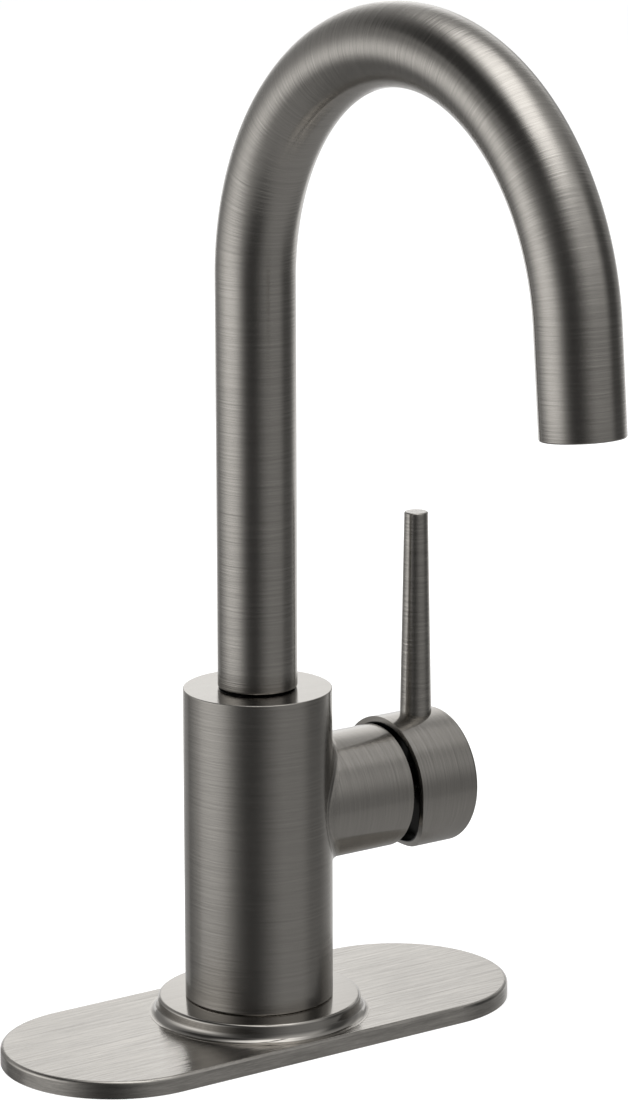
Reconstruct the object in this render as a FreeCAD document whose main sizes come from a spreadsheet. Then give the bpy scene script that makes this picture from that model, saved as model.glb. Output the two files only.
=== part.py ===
import FreeCAD, Part
import math
import os
from types import SimpleNamespace

import Sketcher

# Gooseneck bar faucet with one side lever, millimetres.
# +Z up, origin on the body axis at the deck surface, +X towards the lever,
# -Y towards the spout outlet.

DRIVING_SIZES = {
    # deck plate and its gasket
    "plate_length": 159.0,
    "plate_width": 64.0,
    "plate_thickness": 4.8,
    "plate_edge_round": 1.0,
    "plate_rim": 3.0,
    "plate_recess": 1.8,
    "plate_island_radius": 20.0,
    "gasket_clearance": 0.1,
    # base ring between plate and body
    "ring_radius": 28.3,
    "ring_height": 4.9,
    "ring_top_round": 0.9,
    "ring_foot_radius": 30.8,
    "ring_foot_lip": 0.3,
    "ring_cove": 2.4,
    "ring_seal_inner": 21.5,
    "ring_seal_outer": 25.0,
    "ring_seal_depth": 1.6,
    # body
    "body_radius": 20.6,
    "body_height": 88.2,
    "body_foot_round": 0.6,
    "body_top_round": 0.3,
    "handle_axis_height": 63.1,
    "boss_radius": 17.4,
    "boss_end": 41.3,
    "boss_end_round": 0.5,
    "boss_root_round": 2.0,
    # fits
    "running_gap": 0.3,
    "thread_gap": 0.05,
    "bearing_gap": 0.05,
    "face_gap": 0.05,
    "cut_margin": 1.0,
    # shank and clamp under the deck
    "shank_radius": 15.0,
    "shank_bore": 12.0,
    "shank_drop": 48.0,
    "shank_grip": 14.0,
    "shank_chamfer": 1.0,
    "plate_hole_gap": 0.5,
    "deck_thickness": 20.0,
    "clamp_gasket_radius": 26.0,
    "clamp_gasket_thickness": 3.0,
    "washer_radius": 25.5,
    "washer_thickness": 1.6,
    "nut_flange_radius": 25.0,
    "nut_flange_thickness": 4.0,
    "nut_hex_across": 37.0,
    "nut_hex_height": 8.0,
    "jam_screw_radius": 2.5,
    "jam_screw_circle": 21.6,
    "jam_screw_length": 14.0,
    "jam_head_radius": 3.2,
    "jam_head_height": 3.5,
    # supply tails
    "tail_x": 4.6,
    "tail_y": 4.2,
    "tail_radius": 4.75,
    "tail_bore": 2.4,
    "tail_drop": 72.0,
    "tail_socket_depth": 9.8,
    "tail_thread_length": 14.0,
    "tail_collar_radius": 5.4,
    "tail_collar_height": 5.0,
    "tail_ring_section": 0.9,
    "tail_ring_height": 28.5,
    # waterways inside the body
    "inlet_port_drop": 4.3,
    "outlet_port_rise": 5.5,
    "outlet_port_radius": 2.6,
    "chamber_radius": 8.0,
    "chamber_depth": 10.0,
    "spout_seat_depth": 25.9,
    "spout_bore": 11.3,
    # spout
    "tube_radius": 11.0,
    "tube_bore": 9.8,
    "tube_start_rise": 20.5,
    "riser_height": 113.9,
    "bend_radius": 68.7,
    "bend_angle": 174.8,
    "tail_straight": 27.8,
    "spigot_radius": 10.9,
    "spigot_bore": 7.6,
    "spigot_tenon": 11.5,
    "groove_radius": 9.0,
    "lower_glide_rise": 1.6,
    "glide_height": 3.0,
    "lower_o_ring_rise": 6.2,
    "o_ring_height": 2.2,
    "lock_groove_rise": 9.5,
    "lock_groove_height": 2.6,
    "lock_groove_radius": 9.2,
    "upper_o_ring_rise": 13.2,
    "upper_glide_rise": 16.6,
    "lock_screw_radius": 2.1,
    "lock_tip_radius": 1.1,
    "lock_screw_sink": 0.6,
    "lock_screw_length": 8.4,
    "lock_tip_gap": 0.2,
    "hex_socket_depth": 2.2,
    "hex_socket_across": 2.0,
    # outlet
    "outlet_recess": 0.8,
    "aerator_gap": 0.1,
    "aerator_height": 9.0,
    "aerator_bore": 8.1,
    "aerator_lip": 7.2,
    "aerator_lip_height": 1.0,
    "insert_height": 5.6,
    "insert_hole_radius": 0.8,
    "insert_inner_circle": 2.7,
    "insert_outer_circle": 5.4,
    "screen_thickness": 0.5,
    "screen_hole_radius": 0.55,
    "screen_pitch": 1.6,
    "aerator_gasket_bore": 7.4,
    "aerator_gasket_height": 1.5,
    # cartridge
    "cartridge_floor": 12.4,
    "cartridge_bore": 13.2,
    "cartridge_radius": 13.0,
    "seal_thickness": 0.8,
    "seal_radius": 3.2,
    "housing_base": 2.8,
    "housing_cavity": 11.2,
    "housing_front": 34.0,
    "housing_flange": 2.0,
    "flange_bore": 15.6,
    "flange_radius": 15.3,
    "front_hole": 9.6,
    "disc_thickness": 2.5,
    "fixed_disc_radius": 10.9,
    "moving_disc_radius": 8.4,
    "moving_disc_thickness": 4.8,
    "moving_disc_offset": 1.95,
    "ball_socket_radius": 2.5,
    "ball_socket_depth": 3.7,
    "ball_radius": 2.4,
    "ball_reach": 9.6,
    "pivot_x": 32.0,
    "rotor_start": 23.8,
    "rotor_radius": 10.9,
    "rotor_shoulder": 33.7,
    "rotor_neck": 9.3,
    "rotor_end": 38.5,
    "rotor_slot_half_width": 4.2,
    "rotor_slot_up": 6.8,
    "rotor_slot_down": 8.0,
    "pin_radius": 1.5,
    "pin_length": 17.0,
    "stem_radius": 3.9,
    "stem_neck": 2.0,
    "stem_shoulder": 27.5,
    "stem_end": 58.6,
    "stem_flat_depth": 0.6,
    "stem_flat_start": 52.0,
    "nut_length": 5.0,
    "nut_bore": 10.3,
    "nut_notch_half_width": 1.6,
    "nut_notch_depth": 2.0,
    "dome_radius": 17.6,
    "dome_wall": 1.5,
    "dome_open_angle": 39.5,
    # handle
    "cap_start": 42.8,
    "cap_end": 62.3,
    "cap_radius": 19.25,
    "cap_bore": 17.4,
    "cap_bore_depth": 9.7,
    "cap_edge_round": 0.9,
    "cap_rim_round": 0.25,
    "cap_relief_radius": 29.0,
    "lever_x": 54.5,
    "lever_foot_radius": 4.45,
    "lever_top_radius": 3.35,
    "lever_top_height": 140.2,
    "lever_top_round": 0.5,
    "tenon_radius": 3.0,
    "tenon_length": 10.0,
    "cap_screw_x": 56.0,
    "cap_screw_radius": 2.5,
    "cap_screw_sink": 0.8,
}

INSERT_INNER_HOLES = 6
INSERT_OUTER_HOLES = 12
SCREEN_RING_COUNT = 4
HOLES_PER_SCREEN_RING = 6
HEXAGON_HALF_ANGLE = 30


class Size:
    """A length that carries its number and the expression that drives it."""

    def __init__(self, value, text):
        self.value = value
        self.text = text

    def __add__(self, other):
        other = as_size(other)
        return Size(self.value + other.value, f"({self.text} + {other.text})")

    def __sub__(self, other):
        other = as_size(other)
        return Size(self.value - other.value, f"({self.text} - {other.text})")

    def __mul__(self, other):
        other = as_size(other)
        return Size(self.value * other.value, f"({self.text} * {other.text})")

    def __truediv__(self, other):
        other = as_size(other)
        return Size(self.value / other.value, f"({self.text} / {other.text})")

    def __neg__(self):
        return Size(-self.value, f"(0 - {self.text})")


def as_size(thing):
    """Return thing as a Size; a bare number becomes a literal."""
    if isinstance(thing, Size):
        return thing
    return Size(float(thing), repr(float(thing)))


def root(size):
    """Square root of a Size."""
    return Size(math.sqrt(size.value), f"sqrt({size.text})")


def sine(angle):
    """Sine of an angle in degrees."""
    return Size(math.sin(math.radians(angle.value)), f"sin({angle.text} * 1 deg)")


def cosine(angle):
    """Cosine of an angle in degrees."""
    return Size(math.cos(math.radians(angle.value)), f"cos({angle.text} * 1 deg)")


doc = FreeCAD.newDocument("bar_faucet")
sheet = doc.addObject("Spreadsheet::Sheet", "Sizes")
for row, (alias, number) in enumerate(DRIVING_SIZES.items(), start=1):
    sheet.set(f"A{row}", alias)
    sheet.set(f"B{row}", str(number))
    sheet.setAlias(f"B{row}", alias)
doc.recompute()
s = SimpleNamespace(**{k: Size(v, f"Sizes.{k}") for k, v in DRIVING_SIZES.items()})
ZERO = as_size(0)

PLANES = {"XY": "XY_Plane", "XZ": "XZ_Plane", "YZ": "YZ_Plane"}
sub_parts = []


def new_body(name, x=None, y=None, z=None):
    """Add a body named as its node, placed at x, y, z."""
    body = doc.addObject("PartDesign::Body", name)
    body.Label = name
    place(body, x, y, z)
    sub_parts.append(body)
    return body


def place(thing, x=None, y=None, z=None):
    """Drive the position of a body or a solid by sizes."""
    for axis, size in (("x", x), ("y", y), ("z", z)):
        if size is not None:
            thing.setExpression(f"Placement.Base.{axis}", as_size(size).text)


def new_sketch(body, name, plane, offset=None):
    """Add a sketch on one of the body's own origin planes."""
    sketch = body.newObject("Sketcher::SketchObject", name)
    support = [f for f in body.Origin.OriginFeatures if f.Role == PLANES[plane]][0]
    sketch.AttachmentSupport = [(support, "")]
    sketch.MapMode = "FlatFace"
    if offset is not None:
        sketch.AttachmentOffset = FreeCAD.Placement(
            FreeCAD.Vector(0, 0, offset.value), FreeCAD.Rotation())
        sketch.setExpression("AttachmentOffset.Base.z", offset.text)
    return sketch


def drive(sketch, constraint, size):
    """Add a dimension and bind it to its size."""
    index = sketch.addConstraint(constraint)
    sketch.renameConstraint(index, f"d{index}")
    sketch.setExpression(f"Constraints.d{index}", size.text)


def pin_point(sketch, geometry, end, u, v):
    """Hold one point of a sketch at u, v."""
    u, v = as_size(u), as_size(v)
    drive(sketch, Sketcher.Constraint("DistanceX", -1, 1, geometry, end, u.value), u)
    drive(sketch, Sketcher.Constraint("DistanceY", -1, 1, geometry, end, v.value), v)


def vector(u, v):
    """Plane vector of two sizes."""
    return FreeCAD.Vector(as_size(u).value, as_size(v).value, 0)


def add_polygon(sketch, points):
    """Closed outline through points, every corner driven."""
    first = sketch.GeometryCount
    count = len(points)
    for i in range(count):
        ends = vector(*points[i]), vector(*points[(i + 1) % count])
        sketch.addGeometry(Part.LineSegment(*ends), False)
    for i in range(count):
        follower = first + (i + 1) % count
        sketch.addConstraint(Sketcher.Constraint("Coincident", first + i, 2, follower, 1))
    for i in range(count):
        pin_point(sketch, first + i, 1, *points[i])


def add_circle(sketch, u, v, radius):
    """Circle with driven centre and radius."""
    radius = as_size(radius)
    circle = Part.Circle(vector(u, v), FreeCAD.Vector(0, 0, 1), radius.value)
    index = sketch.addGeometry(circle, False)
    pin_point(sketch, index, 3, u, v)
    drive(sketch, Sketcher.Constraint("Radius", index, radius.value), radius)


def hexagon_points(across):
    """Corners of a hexagon about the sketch origin, across its flats."""
    half = across / 2
    corner = half / cosine(as_size(HEXAGON_HALF_ANGLE))
    return [(corner, 0), (corner / 2, half), (-corner / 2, half),
            (-corner, 0), (-corner / 2, -half), (corner / 2, -half)]


def add_slot(sketch, length, width):
    """Full-round outline, length along the sketch's first axis."""
    radius = width / 2
    reach = (length - width) / 2
    turn = math.pi / 2
    up = FreeCAD.Vector(0, 0, 1)
    left = Part.Circle(vector(-reach, 0), up, radius.value)
    right = Part.Circle(vector(reach, 0), up, radius.value)
    first = sketch.GeometryCount
    sketch.addGeometry(Part.ArcOfCircle(left, turn, 3 * turn), False)
    sketch.addGeometry(Part.ArcOfCircle(right, -turn, turn), False)
    sketch.addGeometry(Part.LineSegment(vector(-reach, -radius), vector(reach, -radius)), False)
    sketch.addGeometry(Part.LineSegment(vector(reach, radius), vector(-reach, radius)), False)
    for pair in ((first, 2, first + 2, 1), (first + 2, 2, first + 1, 1),
                 (first + 1, 2, first + 3, 1), (first + 3, 2, first, 1)):
        sketch.addConstraint(Sketcher.Constraint("Tangent", *pair))
    pin_point(sketch, first, 3, -reach, 0)
    pin_point(sketch, first + 1, 3, reach, 0)
    drive(sketch, Sketcher.Constraint("Radius", first, radius.value), radius)


def settle(feature, body):
    """Recompute and make the feature the body's result."""
    body.Tip = feature
    doc.recompute()
    return feature


def turn(body, name, axis, points):
    """Revolve an outline of (along the axis, radius) points about X or Z."""
    sketch = new_sketch(body, name + "_profile", "XZ")
    if axis == "X":
        add_polygon(sketch, points)
    else:
        add_polygon(sketch, [(radius, along) for along, radius in points])
    feature = body.newObject("PartDesign::Revolution", name)
    feature.Profile = sketch
    feature.ReferenceAxis = (sketch, ["H_Axis" if axis == "X" else "V_Axis"])
    feature.Angle = 360.0
    return settle(feature, body)


def pad(body, name, plane, start, end, draw):
    """Pad an outline between two heights along the plane's normal."""
    start, end = as_size(start), as_size(end)
    offset = -end if plane == "XZ" else start
    sketch = new_sketch(body, name + "_outline", plane, offset)
    draw(sketch)
    feature = body.newObject("PartDesign::Pad", name)
    feature.Profile = sketch
    feature.setExpression("Length", (end - start).text)
    return settle(feature, body)


def cut(body, name, plane, start, end, draw):
    """Cut an outline away between two heights; it must remove something."""
    start, end = as_size(start), as_size(end)
    before = body.Shape.Volume
    sketch = new_sketch(body, name + "_outline", plane, -start if plane == "XZ" else end)
    draw(sketch)
    feature = body.newObject("PartDesign::Pocket", name)
    feature.Profile = sketch
    feature.setExpression("Length", (end - start).text)
    settle(feature, body)
    if not body.Shape.Volume < before:
        raise RuntimeError(f"{name} removed nothing")
    return feature


def bore(body, name, plane, start, end, u, v, radius):
    """Round hole between two heights."""
    return cut(body, name, plane, start, end, lambda sk: add_circle(sk, u, v, radius))


def circle_edges(shape, axis, along, radius, slack=0.02):
    """Names of full-circle edges at one position and radius on an axis."""
    found = []
    for number, edge in enumerate(shape.Edges, start=1):
        if not isinstance(edge.Curve, Part.Circle):
            continue
        same_place = abs(getattr(edge.Curve.Center, axis) - along) < slack
        if same_place and abs(edge.Curve.Radius - radius) < slack:
            found.append(f"Edge{number}")
    return found


def soften(body, name, base, edges, size, kind="Fillet"):
    """Round or chamfer the named edges of a feature."""
    if not edges:
        raise RuntimeError(f"{name} found no edges")
    feature = body.newObject(f"PartDesign::{kind}", name)
    feature.Base = (base, edges)
    feature.setExpression("Radius" if kind == "Fillet" else "Size", size.text)
    return settle(feature, body)


def solid(kind, name, **sizes):
    """Part primitive with driven properties."""
    thing = doc.addObject(f"Part::{kind}", name)
    for prop, size in sizes.items():
        thing.setExpression(prop, as_size(size).text)
    return thing


def gather(name, pieces):
    """Group loose solids under one node."""
    group = doc.addObject("Part::Compound", name)
    group.Label = name
    group.Links = pieces
    sub_parts.append(group)
    doc.recompute()
    return group


# heights that several pieces share
plate_top = s.plate_thickness
body_foot = plate_top + s.ring_height
body_top = body_foot + s.body_height
shank_top = body_foot + s.shank_grip
tail_top = shank_top + s.tail_socket_depth
inlet_port_z = s.handle_axis_height - s.inlet_port_drop
outlet_port_z = s.handle_axis_height + s.outlet_port_rise
spout_seat = body_top - s.spout_seat_depth
tube_start = spout_seat + s.tube_start_rise
bend_height = body_top + s.riser_height
lock_screw_z = spout_seat + s.lock_groove_rise + s.lock_groove_height / 2


def build_deck_plate():
    """Full-round plate, hollow underneath, with an island at its hole."""
    body = new_body("deck_plate")
    slab = pad(body, "slab", "XY", 0, plate_top,
               lambda sk: add_slot(sk, s.plate_length, s.plate_width))
    rim = [f"Edge{n}" for n, e in enumerate(slab.Shape.Edges, start=1)
           if abs(e.BoundBox.ZMin - plate_top.value) < 0.01]
    soften(body, "top_edge", slab, rim, s.plate_edge_round)

    def recess(sketch):
        add_slot(sketch, s.plate_length - s.plate_rim * 2, s.plate_width - s.plate_rim * 2)
        add_circle(sketch, 0, 0, s.plate_island_radius)

    cut(body, "underside_recess", "XY", 0, s.plate_recess, recess)
    bore(body, "shank_hole", "XY", 0, plate_top, 0, 0, s.shank_radius + s.plate_hole_gap)


def build_deck_plate_gasket():
    """Soft gasket that fills the recess under the plate."""
    body = new_body("deck_plate_gasket")
    margin = (s.plate_rim + s.gasket_clearance) * 2

    def outline(sketch):
        add_slot(sketch, s.plate_length - margin, s.plate_width - margin)
        add_circle(sketch, 0, 0, s.plate_island_radius + s.gasket_clearance)

    pad(body, "gasket", "XY", 0, s.plate_recess, outline)


def build_base_ring():
    """Ring under the body, flared at its foot and grooved for its seal."""
    body = new_body("base_ring")
    inner = s.shank_radius + s.plate_hole_gap
    lip_top = plate_top + s.ring_foot_lip
    blank = turn(body, "ring", "Z", [(plate_top, inner), (plate_top, s.ring_foot_radius),
                                     (lip_top, s.ring_foot_radius), (lip_top, s.ring_radius),
                                     (body_foot, s.ring_radius), (body_foot, inner)])
    top = circle_edges(blank.Shape, "z", body_foot.value, s.ring_radius.value)
    rounded = soften(body, "top_edge", blank, top, s.ring_top_round)
    root_edge = circle_edges(rounded.Shape, "z", lip_top.value, s.ring_radius.value)
    soften(body, "foot_cove", rounded, root_edge, s.ring_cove)

    def groove(sketch):
        add_circle(sketch, 0, 0, s.ring_seal_inner)
        add_circle(sketch, 0, 0, s.ring_seal_outer)

    cut(body, "seal_groove", "XY", plate_top, plate_top + s.ring_seal_depth, groove)
    seal = new_body("base_ring_seal")
    inner_wall = s.ring_seal_inner + s.gasket_clearance
    outer_wall = s.ring_seal_outer - s.gasket_clearance
    crown = plate_top + s.ring_seal_depth
    turn(seal, "seal", "Z", [(plate_top, inner_wall), (plate_top, outer_wall),
                             (crown, outer_wall), (crown, inner_wall)])


def build_faucet_body():
    """Cast body with its side boss, bored for spout, cartridge and supplies."""
    body = new_body("faucet_body")
    barrel = turn(body, "barrel", "Z", [(body_foot, 0), (body_foot, s.body_radius),
                                        (body_top, s.body_radius), (body_top, 0)])
    boss = pad(body, "boss", "YZ", 0, s.boss_end,
               lambda sk: add_circle(sk, 0, s.handle_axis_height, s.boss_radius))
    root_edges = []
    for number, edge in enumerate(boss.Shape.Edges, start=1):
        box = edge.BoundBox
        if isinstance(edge.Curve, (Part.Circle, Part.Line)):
            continue
        if box.XMin > 1 and box.XMax < s.body_radius.value + 1:
            root_edges.append(f"Edge{number}")
    blended = soften(body, "boss_root", boss, root_edges, s.boss_root_round)
    end = circle_edges(blended.Shape, "x", s.boss_end.value, s.boss_radius.value)
    rounded = soften(body, "boss_edge", blended, end, s.boss_end_round)
    top = circle_edges(rounded.Shape, "z", body_top.value, s.body_radius.value)
    topped = soften(body, "top_edge", rounded, top, s.body_top_round)
    foot = circle_edges(topped.Shape, "z", body_foot.value, s.body_radius.value)
    soften(body, "foot_edge", topped, foot, s.body_foot_round)

    bore(body, "spout_socket", "XY", spout_seat, body_top, 0, 0, s.spout_bore)
    bore(body, "mixing_chamber", "XY", spout_seat - s.chamber_depth, spout_seat,
         0, 0, s.chamber_radius)
    bore(body, "shank_socket", "XY", body_foot, shank_top, 0, 0, s.shank_radius + s.thread_gap)
    socket = s.tail_radius + s.thread_gap
    passage_top = inlet_port_z + s.tail_bore
    for side, x, y in (("hot", -s.tail_x, s.tail_y), ("cold", s.tail_x, -s.tail_y)):
        bore(body, f"{side}_socket", "XY", shank_top, tail_top, x, y, socket)
        bore(body, f"{side}_rise", "XY", tail_top, passage_top, x, y, s.tail_bore)
    bore(body, "cartridge_bore", "YZ", s.cartridge_floor, s.boss_end,
         0, s.handle_axis_height, s.cartridge_bore)
    bore(body, "nut_bore", "YZ", s.housing_front, s.boss_end,
         0, s.handle_axis_height, s.flange_bore)
    bore(body, "hot_port", "YZ", -s.tail_x, s.cartridge_floor, s.tail_y, inlet_port_z, s.tail_bore)
    bore(body, "cold_port", "YZ", s.tail_x, s.cartridge_floor, -s.tail_y, inlet_port_z, s.tail_bore)
    bore(body, "mixed_port", "YZ", 0, s.cartridge_floor, 0, outlet_port_z, s.outlet_port_radius)
    bore(body, "lock_screw_hole", "XZ", s.chamber_radius, s.body_radius,
         0, lock_screw_z, s.lock_screw_radius + s.thread_gap)


def build_shank_and_clamp():
    """Hollow threaded shank with the gasket, washer, nut and jam screws."""
    shank = new_body("mounting_shank")
    tube = turn(shank, "tube", "Z", [(-s.shank_drop, s.shank_bore), (-s.shank_drop, s.shank_radius),
                                     (shank_top, s.shank_radius), (shank_top, s.shank_bore)])
    end = circle_edges(tube.Shape, "z", -s.shank_drop.value, s.shank_radius.value)
    soften(shank, "lead_in", tube, end, s.shank_chamfer, "Chamfer")

    loose = s.shank_radius + s.running_gap
    thread = s.shank_radius + s.thread_gap
    gasket_top = -s.deck_thickness
    washer_top = gasket_top - s.clamp_gasket_thickness
    nut_top = washer_top - s.washer_thickness
    for name, high, low, outer in (
            ("mounting_gasket", gasket_top, washer_top, s.clamp_gasket_radius),
            ("mounting_washer", washer_top, nut_top, s.washer_radius)):
        turn(new_body(name), "ring", "Z", [(low, loose), (low, outer), (high, outer), (high, loose)])

    nut = new_body("mounting_nut")
    flange_foot = nut_top - s.nut_flange_thickness
    hex_foot = flange_foot - s.nut_hex_height
    turn(nut, "flange", "Z", [(flange_foot, thread), (flange_foot, s.nut_flange_radius),
                              (nut_top, s.nut_flange_radius), (nut_top, thread)])

    def hexagon(sketch):
        add_polygon(sketch, hexagon_points(s.nut_hex_across))
        add_circle(sketch, 0, 0, thread)

    pad(nut, "hexagon", "XY", hex_foot, flange_foot, hexagon)
    hole = bore(nut, "jam_screw_hole", "XY", flange_foot, nut_top,
                0, s.jam_screw_circle, s.jam_screw_radius + s.thread_gap)
    ring = nut.newObject("PartDesign::PolarPattern", "jam_screw_holes")
    ring.Originals = [hole]
    ring.Axis = (hole.Profile[0], ["N_Axis"])
    ring.Angle = 360.0
    ring.Occurrences = 2
    settle(ring, nut)

    screws = []
    for side, y in (("back", s.jam_screw_circle), ("front", -s.jam_screw_circle)):
        thread_piece = solid("Cylinder", f"jam_thread_{side}", Radius=s.jam_screw_radius,
                             Height=s.jam_screw_length)
        place(thread_piece, 0, y, nut_top - s.jam_screw_length)
        head = solid("Prism", f"jam_head_{side}", Circumradius=s.jam_head_radius,
                     Height=s.jam_head_height)
        head.Polygon = 6
        place(head, 0, y, nut_top - s.jam_screw_length - s.jam_head_height)
        screw = doc.addObject("Part::Fuse", f"jam_screw_{side}")
        screw.Base = thread_piece
        screw.Tool = head
        screws.append(screw)
    gather("nut_jam_screws", screws)


def build_inlet_tails():
    """Rigid supply tails from the body down through the shank."""
    collar_foot = -s.tail_drop + s.tail_thread_length
    collar_top = collar_foot + s.tail_collar_height
    groove = s.tail_radius - s.tail_ring_section
    low = s.tail_ring_height - s.tail_ring_section
    high = s.tail_ring_height + s.tail_ring_section
    rings = []
    for side, x, y in (("hot", -s.tail_x, s.tail_y), ("cold", s.tail_x, -s.tail_y)):
        tail = new_body(f"{side}_inlet_tail", x, y)
        turn(tail, "tube", "Z", [
            (-s.tail_drop, s.tail_bore), (-s.tail_drop, s.tail_radius),
            (collar_foot, s.tail_radius), (collar_foot, s.tail_collar_radius),
            (collar_top, s.tail_collar_radius), (collar_top, s.tail_radius),
            (low, s.tail_radius), (low, groove), (high, groove), (high, s.tail_radius),
            (tail_top, s.tail_radius), (tail_top, s.tail_bore)])
        ring = solid("Torus", f"{side}_tail_ring", Radius1=groove + s.tail_ring_section / 2,
                     Radius2=s.tail_ring_section / 2)
        place(ring, x, y, s.tail_ring_height)
        rings.append(ring)
    gather("inlet_tail_o_rings", rings)


def build_spout():
    """Gooseneck tube on its turned spigot, with rings and lock screw."""
    tube = new_body("spout_tube")
    path = new_sketch(tube, "centreline", "YZ")
    turn_end_y = -s.bend_radius + s.bend_radius * cosine(s.bend_angle)
    turn_end_z = bend_height + s.bend_radius * sine(s.bend_angle)
    outlet_y = turn_end_y - s.tail_straight * sine(s.bend_angle)
    outlet_z = turn_end_z + s.tail_straight * cosine(s.bend_angle)
    path.addGeometry(Part.LineSegment(vector(0, tube_start), vector(0, bend_height)), False)
    centre = Part.Circle(vector(-s.bend_radius, bend_height), FreeCAD.Vector(0, 0, 1),
                         s.bend_radius.value)
    path.addGeometry(Part.ArcOfCircle(centre, 0, math.radians(s.bend_angle.value)), False)
    path.addGeometry(Part.LineSegment(vector(turn_end_y, turn_end_z),
                                      vector(outlet_y, outlet_z)), False)
    path.addConstraint(Sketcher.Constraint("Coincident", 0, 2, 1, 1))
    path.addConstraint(Sketcher.Constraint("Coincident", 1, 2, 2, 1))
    pin_point(path, 0, 1, 0, tube_start)
    pin_point(path, 0, 2, 0, bend_height)
    pin_point(path, 1, 3, -s.bend_radius, bend_height)
    drive(path, Sketcher.Constraint("DistanceX", -1, 1, 1, 2, turn_end_y.value), turn_end_y)
    pin_point(path, 2, 2, outlet_y, outlet_z)

    section = new_sketch(tube, "wall", "XY", tube_start)
    add_circle(section, 0, 0, s.tube_radius)
    add_circle(section, 0, 0, s.tube_bore)
    neck = tube.newObject("PartDesign::AdditivePipe", "gooseneck")
    neck.Profile = section
    neck.Spine = (path, ["Edge1", "Edge2", "Edge3"])
    settle(neck, tube)

    spigot = new_body("spout_spigot")
    foot = spout_seat + s.face_gap
    lower_glide = spout_seat + s.lower_glide_rise
    upper_glide = spout_seat + s.upper_glide_rise
    lower_o_ring = spout_seat + s.lower_o_ring_rise
    upper_o_ring = spout_seat + s.upper_o_ring_rise
    outline = [(foot, s.spigot_bore), (foot, s.spigot_radius)]
    for low, height, depth in (
            (lower_glide, s.glide_height, s.groove_radius),
            (lower_o_ring, s.o_ring_height, s.groove_radius),
            (spout_seat + s.lock_groove_rise, s.lock_groove_height, s.lock_groove_radius),
            (upper_o_ring, s.o_ring_height, s.groove_radius),
            (upper_glide, s.glide_height, s.groove_radius)):
        outline += [(low, s.spigot_radius), (low, depth),
                    (low + height, depth), (low + height, s.spigot_radius)]
    tenon = s.tube_bore - s.thread_gap
    tenon_top = tube_start + s.spigot_tenon
    outline += [(tube_start, s.spigot_radius), (tube_start, tenon),
                (tenon_top, tenon), (tenon_top, s.spigot_bore)]
    turn(spigot, "spigot", "Z", outline)

    outer = s.spout_bore - s.bearing_gap
    for name, low in (("lower_glide_ring", lower_glide), ("upper_glide_ring", upper_glide)):
        high = low + s.glide_height
        turn(new_body(name), "ring", "Z", [(low, s.groove_radius), (low, outer),
                                           (high, outer), (high, s.groove_radius)])
    rings = []
    for side, low in (("lower", lower_o_ring), ("upper", upper_o_ring)):
        section_radius = s.o_ring_height / 2
        ring = solid("Torus", f"spout_ring_{side}", Radius1=outer - section_radius,
                     Radius2=section_radius)
        place(ring, z=low + section_radius)
        rings.append(ring)
    gather("spout_o_rings", rings)

    screw = new_body("spout_lock_screw", z=lock_screw_z)
    head = s.body_radius - s.lock_screw_sink
    shoulder = head - s.lock_screw_length
    tip = s.lock_groove_radius + s.lock_tip_gap
    pad(screw, "thread", "XZ", shoulder, head,
        lambda sk: add_circle(sk, 0, 0, s.lock_screw_radius))
    pad(screw, "dog_point", "XZ", tip, shoulder,
        lambda sk: add_circle(sk, 0, 0, s.lock_tip_radius))
    cut(screw, "hex_socket", "XZ", head - s.hex_socket_depth, head,
        lambda sk: add_polygon(sk, hexagon_points(s.hex_socket_across)))
    return outlet_y, outlet_z


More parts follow.
